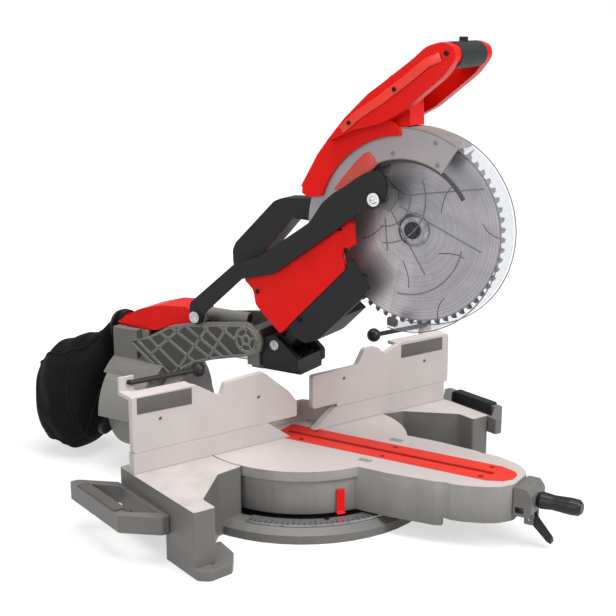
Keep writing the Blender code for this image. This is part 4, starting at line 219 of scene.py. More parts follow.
def turned_table(name):
    """Cast aluminium, coated, with its top milled.

    It gives the eye a pale top with fine rings about the mitre axis, and sides that darken downwards; the
    darkening sides are painted shade under the table, and the pale top is partly milled metal and partly
    painted light from above."""
    made, tree, place = material_start(name)
    soft = add(tree, "Bevel", {"Radius": 1.1 * MM}, samples=4)
    upward = looking_up(tree, 0.6)
    # The rings are drawn about 3 mm apart, coarser than the real 0.4 mm, so that they show.
    reach, rings = turning_marks(tree, place, 3 * MM, 3.0)
    height = add(tree, "SeparateXYZ", {"Vector": place})
    # Painted shade: the sides are darker towards the bottom, under the table's overhang.
    risen = add(tree, "MapRange", {"Value": (height, "Z"), "From Min": 0.022, "From Max": 0.080})
    side = add(tree, "Mix", {"Factor": risen, "A": "6C6A66", "B": "9B9896"}, **COLOURS)
    sides = add(tree, "Mix", {
        "Factor": clouds(tree, place, 40 * MM, 4.0, 0.0, 0.30), "A": side, "B": "575552"}, **COLOURS)
    marks = add(tree, "MapRange", {"Value": rings, **BAND, "To Max": 0.35})
    top = add(tree, "Mix", {"Factor": marks, "A": "C6BCB8", "B": "A9A19E"}, **COLOURS)
    # The pale top against the darker sides is partly milled metal and partly painted light from above.
    face = add(tree, "Mix", {"Factor": upward, "A": sides, "B": top}, **COLOURS)
    colour = add(tree, "Mix", {
        "Factor": worn_and_lit_edges(tree, soft, 0.4), "A": face, "B": "DDD6D2"}, **COLOURS)
    peel = add(tree, "TexNoise", {
        "Vector": place, "Scale": 1 / (1.8 * MM), "Detail": 2.0, "Roughness": GRAIN_ROUGH})
    relief = add(tree, "Mix", {"Factor": upward, "A": peel, "B": rings})
    bumped = add(tree, "Bump", {"Height": relief, "Strength": 0.15, "Distance": 0.3 * MM, "Normal": soft})
    satin = add(tree, "MapRange", {"Value": upward, "To Min": 0.46, "To Max": 0.30})
    shader = add(tree, "BsdfPrincipled", {
        "Base Color": colour, "Normal": bumped, "IOR": 1.5, "Roughness": satin})
    add(tree, "OutputMaterial", {"Surface": shader})
    return made


def moulded(name, body, deep, lit, rough, grain_size, bump=0.12, radius=1.4 * MM, gloss=0.30):
    """Injection-moulded plastic or rubber.

    It gives the eye a spark-eroded skin, slightly deeper patches and edges painted paler as a highlight."""
    made, tree, place = material_start(name)
    soft = add(tree, "Bevel", {"Radius": radius}, samples=4)
    base = add(tree, "Mix", {
        "Factor": clouds(tree, place, 38 * MM, 3.0, 0.0, 0.35), "A": body, "B": deep}, **COLOURS)
    colour = add(tree, "Mix", {"Factor": worn_and_lit_edges(tree, soft, 0.3), "A": base, "B": lit}, **COLOURS)
    skin = add(tree, "TexNoise", {
        "Vector": place, "Scale": 1 / grain_size, "Detail": 2.0, "Roughness": 0.65})
    bumped = add(tree, "Bump", {"Height": skin, "Strength": bump, "Distance": 0.2 * MM, "Normal": soft})
    matt = add(tree, "MapRange", {"Value": skin, **BAND, "To Min": rough - 0.06, "To Max": rough + 0.08})
    shader = add(tree, "BsdfPrincipled", {
        "Base Color": colour, "Normal": bumped, "IOR": 1.5, "Specular IOR Level": gloss, "Roughness": matt})
    add(tree, "OutputMaterial", {"Surface": shader})
    return made


def worked_metal(name, body, deep, rough, mark_size, metal=1.0):
    """Ground, plated or sintered metal.

    It gives the eye small marks of the work in two close tones, and duller patches from handling."""
    made, tree, place = material_start(name)
    soft = add(tree, "Bevel", {"Radius": 0.5 * MM}, samples=4)
    marks = add(tree, "TexNoise", {"Vector": place, "Scale": 1 / mark_size, "Detail": 3.0})
    tone = add(tree, "Mix", {
        "Factor": add(tree, "MapRange", {"Value": marks, **BAND}), "A": body, "B": deep}, **COLOURS)
    bumped = add(tree, "Bump", {"Height": marks, "Strength": 0.05, "Distance": 0.1 * MM, "Normal": soft})
    sheen = add(tree, "MapRange", {"Value": marks, **BAND, "To Min": rough - 0.04, "To Max": rough + 0.06})
    dull = add(tree, "Math", {0: clouds(tree, place, 26 * MM, 3.0, -0.05, 0.06), 1: sheen})
    shader = add(tree, "BsdfPrincipled", {
        "Base Color": tone, "Normal": bumped, "Roughness": dull, "Metallic": metal})
    add(tree, "OutputMaterial", {"Surface": shader})
    return made


def blade_steel(name):
    """Ground saw steel.

    It gives the eye fine rings about the arbor, faint smears, and a brown rim near the brazed teeth."""
    made, tree, place = material_start(name)
    soft = add(tree, "Bevel", {"Radius": 0.3 * MM}, samples=4)
    # The rings are drawn about 2 mm apart, coarser than the real tenth of a millimetre.
    reach, rings = turning_marks(tree, about_arbor(tree, place), 2 * MM, 4.0)
    tone = add(tree, "Mix", {
        "Factor": add(tree, "MapRange", {"Value": rings, **BAND}), "A": "CFC9CB", "B": "A49EA2"}, **COLOURS)
    smeared = add(tree, "Mix", {
        "Factor": clouds(tree, place, 20 * MM, 4.0, 0.0, 0.22), "A": tone, "B": "7E7779"}, **COLOURS)
    rim = add(tree, "MapRange", {"Value": reach, "From Min": 0.1185, "From Max": 0.1235, "To Max": 0.85})
    colour = add(tree, "Mix", {"Factor": rim, "A": smeared, "B": "4A4140"}, **COLOURS)
    bumped = add(tree, "Bump", {"Height": rings, "Strength": 0.08, "Distance": 0.1 * MM, "Normal": soft})
    sheen = add(tree, "MapRange", {"Value": rings, **BAND, "To Min": 0.34, "To Max": 0.46})
    shader = add(tree, "BsdfPrincipled", {
        "Base Color": colour, "Normal": bumped, "Metallic": 0.75, "Roughness": sheen})
    add(tree, "OutputMaterial", {"Surface": shader})
    return made


def polycarbonate(name, tint, body_share, rough=0.06):
    """Clear moulded polycarbonate, 2.5 mm thick.

    It gives the eye a nearly colourless wall, faint scuffs, and gloss that grows at grazing angles."""
    made, tree, place = material_start(name)
    drawn = add(tree, "Mapping", {"Vector": about_arbor(tree, place), "Scale": (1.0, 9.0, 1.0)})
    scuffs = add(tree, "TexNoise", {"Vector": drawn, "Scale": 1 / (9 * MM), "Detail": 4.0})
    worn = add(tree, "MapRange", {"Value": scuffs, **BAND, "To Min": rough, "To Max": rough + 0.10})
    skin = add(tree, "BsdfPrincipled", {"Base Color": "DADBDD", "IOR": 1.585, "Roughness": worn})
    edge = add(tree, "Fresnel", {"IOR": 1.585})
    seen = add(tree, "MapRange", {"Value": edge, "From Min": 0.04, "To Min": body_share, "To Max": 0.30})
    scuffed = add(tree, "Math", {
        0: seen, 1: add(tree, "MapRange", {"Value": scuffs, **BAND, "To Max": 0.02})})
    clear = add(tree, "BsdfTransparent", {"Color": tint})
    mixed = add(tree, "MixShader", {0: scuffed, 1: clear, 2: skin})
    add(tree, "OutputMaterial", {"Surface": mixed})
    return made


def woven(name, thread, warp, weft, rough=0.85):
    """Coated polyester cloth in plain weave.

    It gives the eye the threads, soft creases, and dust that has settled over it."""
    made, tree, place = material_start(name)
    weave = None
    for direction in ("X", "Y", "Z"):
        wave = add(tree, "TexWave", {
            "Vector": place, "Scale": 1 / thread / TURN * 2, "Distortion": 0.6, "Detail": 1.0},
            bands_direction=direction)
        weave = add(tree, "Math", {0: weave, 1: wave}, operation="MULTIPLY") if weave else wave
    crease = add(tree, "TexNoise", {
        "Vector": place, "Scale": 1 / (16 * MM), "Detail": 4.0, "Roughness": GRAIN_ROUGH})
    tone = add(tree, "Mix", {
        "Factor": add(tree, "MapRange", {"Value": crease, **BAND}), "A": warp, "B": weft}, **COLOURS)
    colour = add(tree, "Mix", {
        "Factor": clouds(tree, place, 60 * MM, 5.0, 0.0, 0.12), "A": tone, "B": "4A4440"}, **COLOURS)
    bumped = add(tree, "Bump", {"Height": crease, "Strength": 0.35, "Distance": 1.6 * MM})
    bumped = add(tree, "Bump", {"Height": weave, "Strength": 0.30, "Distance": 0.3 * MM, "Normal": bumped})
    shader = add(tree, "BsdfPrincipled", {
        "Base Color": colour, "Normal": bumped, "Roughness": rough, "Sheen Weight": 0.03,
        "Sheen Roughness": 0.5, "IOR": 1.5, "Specular IOR Level": 0.12})
    add(tree, "OutputMaterial", {"Surface": shader})
    return made


# Castings: the pale fences, the base, the tilting parts and the milled table
PALE_CAST = cast_paint("powder_coated_cast_aluminium_pale", "C3BCB9", "D0C8C5", "A79F9C")
BASE_CAST = cast_paint("powder_coated_cast_aluminium_base", "6C6A67", "C6BEBB", "5A5856", edge="B9B4B0",
                       milled_and_lit_above=TABLE_TOP - 0.5 * MM)
ARM_CAST = cast_paint("powder_coated_cast_aluminium_dark", "83817B", "8E8C86", "64625D", edge="A8A6A1",
                      edge_share=0.55)
SLIDE_CAST = cast_paint("powder_coated_cast_aluminium_ribbed", "64625C", "7C7A74", "4E4C47",
                        edge="B0AEA8", edge_share=0.75)
GUARD_CAST = cast_paint("die_cast_aluminium_guard", "A8A2A6", "8F8B84", "8A8582", grain_size=0.9 * MM,
                        edge="8E8A84", rough=0.36)
TABLE_CAST = turned_table("milled_and_coated_aluminium_table")
# The pockets' near-black colour is painted shade in the slide arm's hollows.
POCKET_DARK = cast_paint("powder_coated_pocket_in_shade", "2E2D2A", "2E2D2A", "1C1B19", edge="45433F")
RIB_CAST = cast_paint("powder_coated_rib_edges", "6C6B64", "7A7972", "56554F", edge="C6C4BD",
                      edge_share=0.55)
TAB_CAST = cast_paint("cast_aluminium_tab", "8F8C88", "96928E", "7C7976", edge="A9A6A2")
GUARD_EDGE = cast_paint("rolled_aluminium_edge", "7E796F", "8A857B", "67635B", grain_size=0.9 * MM,
                        edge="A09B92")

# Mouldings: body, deeper patches, edges painted lit as a highlight, roughness and the size of the skin's
# grain
RED_ABS = moulded("moulded_red_abs", "E40F07", "C60B06", "F26A52", 0.38, 0.9 * MM, gloss=0.18)
# The raised band's brighter red paints the highlight along the handle's chamfered edge.
RED_LIT = moulded("moulded_red_abs_raised_band", "EE3A28", "DC2116", "FA7A62", 0.32, 0.9 * MM, gloss=0.4)
RED_INSERT = moulded("moulded_red_nylon_insert", "E23325", "CE2015", "F07A68", 0.50, 1.2 * MM)
RED_PATCH = moulded("printed_red_patch_bare", "D9564A", "C94438", "E88A80", 0.38, 1.0 * MM,
                    radius=0.5 * MM)
BLACK_NYLON = moulded("moulded_glass_filled_nylon_black", "141415", "0B0B0C", "3C3C3E", 0.44, 1.1 * MM,
                      gloss=0.28)
BLACK_LEVER = moulded("moulded_nylon_lever_black", "1A1A1B", "101011", "4A4A4C", 0.38, 1.0 * MM,
                      gloss=0.35)
RUBBER = moulded("overmoulded_rubber_black", "262B2B", "191E1E", "4A5252", 0.62, 1.6 * MM, bump=0.3,
                 gloss=0.25)
GREY_RUBBER = moulded("overmoulded_rubber_grey", "5A5955", "4C4B48", "85847F", 0.62, 1.6 * MM, bump=0.3,
                      gloss=0.25)
BELT_RUBBER = moulded("vulcanised_belt_rubber", "1C1B1A", "121110", "3A3836", 0.75, 1.0 * MM, bump=0.2,
                      gloss=0.2)
PANEL = moulded("moulded_label_plate_grey", "605D5B", "504E4C", "7C7A77", 0.42, 1.4 * MM,
                radius=0.6 * MM)
SLOT_BLACK = moulded("shadowed_slot_black", "0C0C0C", "060606", "1A1A1A", 0.8, 1.0 * MM,
                     radius=0.3 * MM, gloss=0.1)
# A dark band drawn along the clear guard's upper edge.
GUARD_TRIM = moulded("moulded_smoked_trim", "4E4A4D", "3B383A", "77727A", 0.35, 1.0 * MM,
                     radius=0.6 * MM)

# Metals: body, deeper tone, roughness and the size of the marks
CHROME = worked_metal("ground_and_chromed_steel_rail", "D6D7D9", "BDBEC1", 0.16, 8 * MM)
ZINC = worked_metal("zinc_plated_steel", "B9BABC", "94969A", 0.32, 5 * MM)
BLACK_STEEL = worked_metal("black_oxide_steel", "2F2E2F", "212021", 0.38, 5 * MM)
MILLED = worked_metal("milled_aluminium", "A5A6A7", "8C8D8F", 0.40, 4 * MM, metal=0.8)
BRONZE = worked_metal("sintered_bronze_bush", "A9803C", "8A642A", 0.42, 2 * MM)
CARBIDE = worked_metal("brazed_carbide_tip", "5A514D", "3A3431", 0.38, 1.5 * MM, metal=0.7)
BLADE = blade_steel("ground_saw_steel")

# Clear plastic and cloth, whose threads are drawn about four times as coarse as the real ones
CLEAR = polycarbonate("clear_moulded_polycarbonate", "F6F7F8", 0.015)
# The ribs' and rims' grey tint paints the shade that clear ribs show when seen edge-on.
CLEAR_RIB = polycarbonate("clear_polycarbonate_seen_edge_on", "8A8489", 0.22, 0.12)
BAG = woven("black_woven_polyester", 2.4 * MM, "0D0C0C", "060606")
BAG_TAPE = woven("black_polyester_binding_tape", 1.6 * MM, "171516", "0D0C0D", 0.7)

FINISHES = {
    PALE_CAST: ("fixed_fence", "left_sliding_fence", "right_sliding_fence"),
    BASE_CAST: ("base_casting", "left_carry_bar", "right_carry_bar", "arm_nose_bracket"),
    TABLE_CAST: ("turntable_casting",),
    ARM_CAST: ("bevel_hub", "dust_duct"),
    SLIDE_CAST: ("slide_arm",),
    GUARD_CAST: ("upper_blade_guard",),
    RED_ABS: ("motor_housing", "main_handle", "dust_chute", "mitre_pointer", "trigger"),
    RED_INSERT: ("kerf_plate",),
    BLACK_NYLON: ("chop_yoke", "head_arm", "drive_back_plate", "belt_cover", "carry_handle",
                  "battery_pack", "guard_link_bar", "bag_collar", "lock_off_button"),
    BLACK_LEVER: ("left_fence_clamp_lever", "right_fence_clamp_lever", "mitre_lock_handle",
                  "detent_release_lever", "bevel_lock_lever", "slide_lock_knob", "head_lock_pin"),
    RUBBER: ("right_bar_grip", "handle_grip_bar"),
    GREY_RUBBER: ("left_bar_grip",),
    BELT_RUBBER: ("drive_belt",),
    CHROME: ("link_ring", "left_slide_rail", "right_slide_rail"),
    ZINC: ("mitre_pivot_bolt", "bevel_pivot_bolt", "chop_pivot_pin", "link_pivot_bolt",
           "detent_lever_pin", "lower_guard_pin", "outer_blade_flange", "inner_blade_flange"),
    BLACK_STEEL: ("arbor_shaft", "arbor_bolt", "motor"),
    MILLED: ("mitre_detent_plate", "arbor_pulley", "motor_pulley"),
    BRONZE: ("left_rail_bush", "right_rail_bush"),
    BLADE: ("saw_blade",),
    CLEAR: ("lower_blade_guard",),
    BAG: ("dust_bag",),
}
for finish, names in FINISHES.items():
    for name in names:
        for place in NODES[name].material_slots:
            place.material = finish


# Ways to make a shape

def polar(centre, reach, heading):
    """A point at a distance and a heading in degrees."""
    turn = math.radians(heading)
    return centre[0] + reach * math.cos(turn), centre[1] + reach * math.sin(turn)


def ring_points(centre, radius, start, end, steps):
    """Points on an arc between two headings in degrees."""
    return [polar(centre, radius, start + (end - start) * i / steps) for i in range(steps + 1)]


def break_edges(shape, over, soften):
    """Rounds the edges that turn by more than over, in radians."""
    bmesh.ops.recalc_face_normals(shape, faces=shape.faces)
    if soften:
        sharp = [e for e in shape.edges if len(e.link_faces) == 2 and e.calc_face_angle() > over]
        bmesh.ops.bevel(shape, geom=sharp, offset=soften, segments=2, profile=0.5, affect="EDGES")


def add_to(work, shape, placing):
    """Moves a shape into place and adds it to a piece."""
    shape.transform(placing)
    held = bpy.data.meshes.new("held")
    shape.to_mesh(held)
    shape.free()
    work.from_mesh(held)
    bpy.data.meshes.remove(held)


def join_rows(shape, rows, closed=False):
    """Faces between rows of points, each row a loop."""
    for first, second in list(zip(rows, rows[1:])) + ([(rows[-1], rows[0])] if closed else []):
        for i in range(len(first)):
            j = (i + 1) % len(first)
            shape.faces.new((first[i], first[j], second[j], second[i]))


def slab(work, outline, low, high, placing, soften=0.0):
    """Adds a flat piece between two heights over a plane."""
    shape = bmesh.new()
    under, over = ([shape.verts.new((u, v, height)) for u, v in outline] for height in (low, high))
    shape.faces.new(list(reversed(under)))
    shape.faces.new(over)
    join_rows(shape, [under, over])
    break_edges(shape, 0.6, soften)
    add_to(work, shape, placing)


def neighbours(points, i, closed):
    """The points before and after one of a path, or the point itself at an open end."""
    last = len(points) - 1
    before = points[i - 1] if closed or i else points[i]
    after = points[(i + 1) % len(points)] if closed or i < last else points[i]
    return before, after


def strip(work, points, half, low, high, placing, soften=0.0, closed=False):
    """Adds a bar of even width that follows a path over a plane."""
    shape = bmesh.new()
    rows = []
    for i, point in enumerate(points):
        before, after = neighbours(points, i, closed)
        run = (Vector(after) - Vector(before)).normalized()
        side = Vector((-run.y, run.x)) * half
        left, right = Vector(point) + side, Vector(point) - side
        rows.append([shape.verts.new((p.x, p.y, height)) for p, height in (
            (left, low), (left, high), (right, high), (right, low))])
    join_rows(shape, rows, closed)
    if not closed:
        shape.faces.new(rows[0])
        shape.faces.new(list(reversed(rows[-1])))
    break_edges(shape, 0.9, soften)
    add_to(work, shape, placing)


def lathe(work, profile, centre, base, placing, sides=16):
    """Adds a turned shape: radius and height pairs about a point of a plane."""
    shape = bmesh.new()
    rows = []
    for radius, height in profile:
        count = sides if radius else 1
        rows.append([shape.verts.new((centre[0] + radius * math.cos(TURN * i / sides),
                                      centre[1] + radius * math.sin(TURN * i / sides), base + height))
                     for i in range(count)])
    for first, second in zip(rows, rows[1:]):
        if len(second) > 1:
            join_rows(shape, [first, second])
            continue
        for i in range(sides):
            shape.faces.new((first[i], first[(i + 1) % sides], second[0]))
    bmesh.ops.recalc_face_normals(shape, faces=shape.faces)
    add_to(work, shape, placing)


def screw(work, centre, face, placing, radius, high):
    """Adds a socket screw: a round head with a soft rim and a socket sunk in it."""
    lathe(work, [(radius, -0.4 * MM), (radius, high * 0.6), (radius * 0.86, high), (radius * 0.52, high),
                 (radius * 0.50, high * 0.92), (radius * 0.46, high * 0.25), (0.0, high * 0.2)],
          centre, face, placing, 18)


def tube(work, points, radius, closed=False):
    """Adds a round bead along a path in space."""
    sides = 8
    rows = []
    for i, point in enumerate(points):
        before, after = neighbours(points, i, closed)
        run = (after - before).normalized()
        held = ((held - run * held.dot(run)) if rows else run.orthogonal()).normalized()
        across = run.cross(held)
        rows.append([work.verts.new(
            point + (held * math.cos(TURN * k / sides) + across * math.sin(TURN * k / sides)) * radius)
            for k in range(sides)])
    join_rows(work, rows, closed)
    if not closed:
        work.faces.new(rows[0])
        work.faces.new(list(reversed(rows[-1])))


def piece(name, work, finish, body):
    """Turns a shape into a piece that moves with a body and carries the finish it is given."""
    bmesh.ops.recalc_face_normals(work, faces=work.faces)
    data = bpy.data.meshes.new(name)
    work.to_mesh(data)
    work.free()
    data.materials.append(finish)
    data.shade_smooth()
    data.set_sharp_from_angle(angle=math.radians(38))
    made = bpy.data.objects.new(name, data)
    bpy.context.collection.objects.link(made)
    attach(made, body)
    return made


# Fences: bare grey plates where the labels were, by their corners on the fence's face
LABEL_PLATES = {
    "left": ((-0.2645, 0.1685), (-0.1825, 0.1675), (-0.1825, 0.1900), (-0.2645, 0.1905)),
    "right": ((0.1835, 0.1690), (0.2660, 0.1690), (0.2660, 0.1890), (0.1835, 0.1895)),
}
PLATE_PROUD = 0.7 * MM


def fence_pieces():
    for side, corners in LABEL_PLATES.items():
        work = bmesh.new()
        slab(work, corners, -SINK, PLATE_PROUD, FENCE_TO_WORLD, SOFT_EDGE)
        piece(side + "_fence_plate", work, PANEL, side + "_fence")


# Slide arm: a lattice of ribs on its two walls, with painted shade between them, and the bolt ring at its
# front
WALL_FACE = 0.045
WALL_MIDDLE = (-0.150, 0.205)
WALL_EDGE = (
    (-0.280, 0.195), (-0.244, 0.2065), (-0.2008, 0.2297), (-0.160, 0.2375), (-0.063, 0.2500),
    (-0.0478, 0.2380), (-0.0430, 0.2276), (-0.0465, 0.2110), (-0.0599, 0.2065), (-0.1257, 0.1912),
    (-0.160, 0.1800), (-0.1945, 0.1600), (-0.2128, 0.1500),
)
RIM_SHARE = 0.045
RIM_HALF = 1.7 * MM
WALL_RIBS = (
    ((-0.262, 0.200), (-0.203, 0.156)), ((-0.240, 0.207), (-0.183, 0.166)),
    ((-0.219, 0.218), (-0.155, 0.181)), ((-0.199, 0.229), (-0.127, 0.191)),
    ((-0.172, 0.234), (-0.105, 0.196)), ((-0.141, 0.238), (-0.088, 0.200)),
    ((-0.112, 0.242), (-0.082, 0.224)), ((-0.238, 0.181), (-0.176, 0.233)),
    ((-0.190, 0.163), (-0.131, 0.238)), ((-0.132, 0.190), (-0.097, 0.244)),
)
RIB_HALF = 2.3 * MM
RIB_PROUD = 0.8 * MM
POCKET_PROUD = 0.12 * MM
BOLT_RING = (-0.0655, 0.2275)
BOLT_RING_HALVES = ((0.0172, 2.4 * MM), (0.0062, 2.0 * MM))
BOLT_SPOKE_REACH = (0.0062, 0.0175)
BOLT_SPOKE_HALF = 1.3 * MM
BOLT_SPOKES = 5


def wall_lattice(name, side):
    """One wall's face: a sunk skin painted near black as the shade in the pockets, a rim that follows its
    outline, the ribs and the ring.
    """
    inner = [tuple(Vector(p).lerp(Vector(WALL_MIDDLE), RIM_SHARE)) for p in WALL_EDGE]
    low, high = sorted((side * (WALL_FACE - SINK), side * (WALL_FACE + POCKET_PROUD)))
    work = bmesh.new()
    slab(work, inner, low, high, PLANE_TO_WORLD)
    piece(name + "_wall_pockets", work, POCKET_DARK, "slide")

    low, high = sorted((side * (WALL_FACE - SINK), side * (WALL_FACE + RIB_PROUD)))
    work = bmesh.new()
    strip(work, inner, RIM_HALF, low, high, PLANE_TO_WORLD, SOFT_EDGE, True)
    for ends in WALL_RIBS:
        strip(work, ends, RIB_HALF, low, high, PLANE_TO_WORLD, SOFT_EDGE)
    for reach, half in BOLT_RING_HALVES:
        ring = ring_points(BOLT_RING, reach, 0, 350, 35)
        strip(work, ring, half, low, high, PLANE_TO_WORLD, SOFT_EDGE, True)
    for k in range(BOLT_SPOKES):
        spoke = [polar(BOLT_RING, reach, 18 + 360 / BOLT_SPOKES * k) for reach in BOLT_SPOKE_REACH]
        strip(work, spoke, BOLT_SPOKE_HALF, low, high, PLANE_TO_WORLD, SOFT_EDGE)
    piece(name + "_wall_ribs", work, RIB_CAST, "slide")


# Dust bag: a lofted shell that sags from its collar, with bound seams and soft folds
BAG_FRONT, BAG_REAR = -0.325, -0.446
BAG_NECK_HEIGHT, BAG_LOW = 0.2120, 0.006
BAG_ASIDE = 0.035
BAG_HALF_HEIGHT, BAG_HALF_WIDTH = 0.092, 0.067
# Each station is a share of the length, then shares of the shift aside, the height, the half height
# and the half width.
BAG_STATIONS = (
    (0.0, 0.0, 1.0, 0.20, 0.33), (0.05, 0.26, 0.87, 0.37, 0.50), (0.11, 0.54, 0.70, 0.60, 0.70),
    (0.22, 0.83, 0.515, 0.93, 0.90), (0.43, 0.96, 0.457, 0.985, 0.98), (0.70, 1.0, 0.433, 0.93, 0.98),
    (0.91, 1.0, 0.408, 0.77, 0.82), (1.0, 1.0, 0.398, 0.50, 0.54),
)
BAG_FULLNESS = 2.5
BAG_TIGHT = 2.2 * MM
BAG_ROWS, BAG_SIDES = 30, 56
BAG_END_BULGE = 6 * MM
SEAM_TURNS = (38, -38, 142, 218)
# Beads round the bag: share of the length, how far out, radius
SEAM_HOOPS = ((0.955, 0.6 * MM, 1.5 * MM), (0.30, 0.4 * MM, 1.1 * MM))
NECK_BAND = (0.015, 2.2 * MM, 2.6 * MM)


def station(share):
    """The bag's shift aside, height, half height and half width as shares, at a share of its length."""
    for first, second in zip(BAG_STATIONS, BAG_STATIONS[1:]):
        if share <= second[0]:
            t = (share - first[0]) / (second[0] - first[0])
            t = t * t * (3 - 2 * t) * 0.4 + t * 0.6
            return [a + (b - a) * t for a, b in zip(first[1:], second[1:])]


def bag_point(share, turn, out=0.0):
    """A point of the bag's skin, out metres beyond it, at a share of its length and a turn round it."""
    aside, up, tall, wide = station(share)
    over, across = (math.copysign(abs(part) ** (2 / BAG_FULLNESS), part)
                    for part in (math.cos(turn), math.sin(turn)))
    over, across = over * (BAG_HALF_HEIGHT * tall + out), across * (BAG_HALF_WIDTH * wide + out)
    # Folds run down from the collar and die out towards the rear, and the middle hangs slack.
    middle_share = math.sin(math.pi * share)
    fold = math.sin(turn * 5 + 1.7 * share) * 2.6 * MM * math.sin(math.pi * min(1.0, share * 1.5))
    fold += math.sin(turn * 11 + 9.0 * share) * 1.1 * MM * middle_share
    sag = 2.8 * MM * middle_share * math.sin(share * 19 + turn * 2)
    scale = 1.0 + (fold + sag - BAG_TIGHT) / max(math.hypot(over, across), 0.02)
    return world(BAG_FRONT - (BAG_FRONT - BAG_REAR) * share,
                 BAG_LOW + (BAG_NECK_HEIGHT - BAG_LOW) * up + over * scale,
                 BAG_ASIDE * aside + across * scale)


def bag_hoop(work, share, out, radius, steps):
    """A bead round the bag."""
    tube(work, [bag_point(share, TURN * k / steps, out) for k in range(steps)], radius, closed=True)


def bag_pieces():
    work = bmesh.new()
    rows = [[work.verts.new(bag_point(i / BAG_ROWS, TURN * k / BAG_SIDES)) for k in range(BAG_SIDES)]
            for i in range(BAG_ROWS + 1)]
    join_rows(work, rows)
    for row, bulge in ((rows[0], 0.0), (rows[-1], -BAG_END_BULGE)):
        middle = sum((v.co for v in row), Vector()) / len(row)
        rings = [row]
        for shrink in (0.7, 0.35):
            lift = ALONG * bulge * (1 - shrink) * 0.5
            rings.append([work.verts.new(middle.lerp(v.co, shrink) + lift) for v in row])
        join_rows(work, rings)
        tip = work.verts.new(middle + ALONG * bulge * 0.5)
        for k in range(BAG_SIDES):
            work.faces.new((rings[-1][k], rings[-1][(k + 1) % BAG_SIDES], tip))
    cloth = piece("dust_bag_cloth", work, BAG, "slide")
    smoother = cloth.modifiers.new("surface", "SUBSURF")
    smoother.levels = smoother.render_levels = 1
    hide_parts("dust_bag")

    work = bmesh.new()
    for turn in SEAM_TURNS:
        tube(work, [bag_point(0.10 + 0.86 * i / 40, math.radians(turn), 0.6 * MM) for i in range(41)],
             1.3 * MM)
    for hoop in SEAM_HOOPS:
        bag_hoop(work, *hoop, 64)
    piece("dust_bag_seams", work, BAG_TAPE, "slide")

    work = bmesh.new()
    bag_hoop(work, *NECK_BAND, 40)
    piece("dust_bag_neck_band", work, BLACK_NYLON, "slide")


# Guards: ribs and rims of the clear guard with its dark trim, the bare red patch and rolled edges
GUARD_PIN = (0.140, 0.444)
GUARD_FACE, GUARD_RIGHT_FACE = 0.026, -0.0236
UPPER_FACE = 0.033
# The reach of the clear wall from the arbor, up to each heading
GUARD_WALL = ((96, 0.132), (136, 0.072), (260.5, 0.040), (360, 0.132))
GUARD_INSET = 3 * MM
SPOKE_STEPS = 24
GUARD_SPOKES = ((0.2850, 0.4655), (0.2780, 0.3850), (0.2012, 0.3483), (0.1520, 0.3150))
GUARD_RINGS = (
    (GUARD_PIN, 0.0185, 40, -140, 24), (GUARD_PIN, 0.038, 40, -120, 32), (GUARD_PIN, 0.060, 25, -115, 40),
    (ARBOR, 0.081, -112, -12, 40),
)
GUARD_RIB_HALF = 0.9 * MM
GUARD_RIB_PROUD = 1.1 * MM
PIN_BOSS = ((0.0165, -SINK), (0.0165, 1.0 * MM), (0.0150, 1.6 * MM), (0.0075, 1.6 * MM), (0.0072, -SINK))
TRIM_ARC = (ARBOR, 0.0935, 114, 31, 44)
TRIM_HALF = 3 * MM
TRIM_PROUD = 1.6 * MM
BUMPER = ((0.1475, 0.2745), (0.1600, 0.2725), (0.1600, 0.2820), (0.1475, 0.2850))
BUMPER_BACK = 0.0180
RED_PATCH_EDGE = (
    (0.0690, 0.4500), (0.0840, 0.4680), (0.1000, 0.4860), (0.1135, 0.4990), (0.1210, 0.5020),
    (0.1290, 0.4960), (0.1335, 0.4860), (0.1150, 0.4690), (0.0975, 0.4520), (0.0880, 0.4470),
)
# Rolled edges of the upper guard: reach, headings, steps and radius; then its rivets: heading and reach
ROLLED_EDGES = ((0.1348, 58.5, 150, 50, 1.1 * MM), (0.0957, 58.5, 203, 60, 1.0 * MM))
RIVETS = ((70, 0.126), (99, 0.103), (140, 0.102), (63, 0.102))
RIVET = ((3.0 * MM, -SINK), (2.8 * MM, 0.8 * MM), (1.8 * MM, 1.3 * MM), (0.0, 1.5 * MM))


def on_guard(point):
    """Whether a point lies on the clear guard's left wall."""
    x, y = point[0] - ARBOR[0], point[1] - ARBOR[1]
    heading = math.degrees(math.atan2(y, x)) % 360
    return math.hypot(x, y) < next(wall for end, wall in GUARD_WALL if heading <= end) - GUARD_INSET


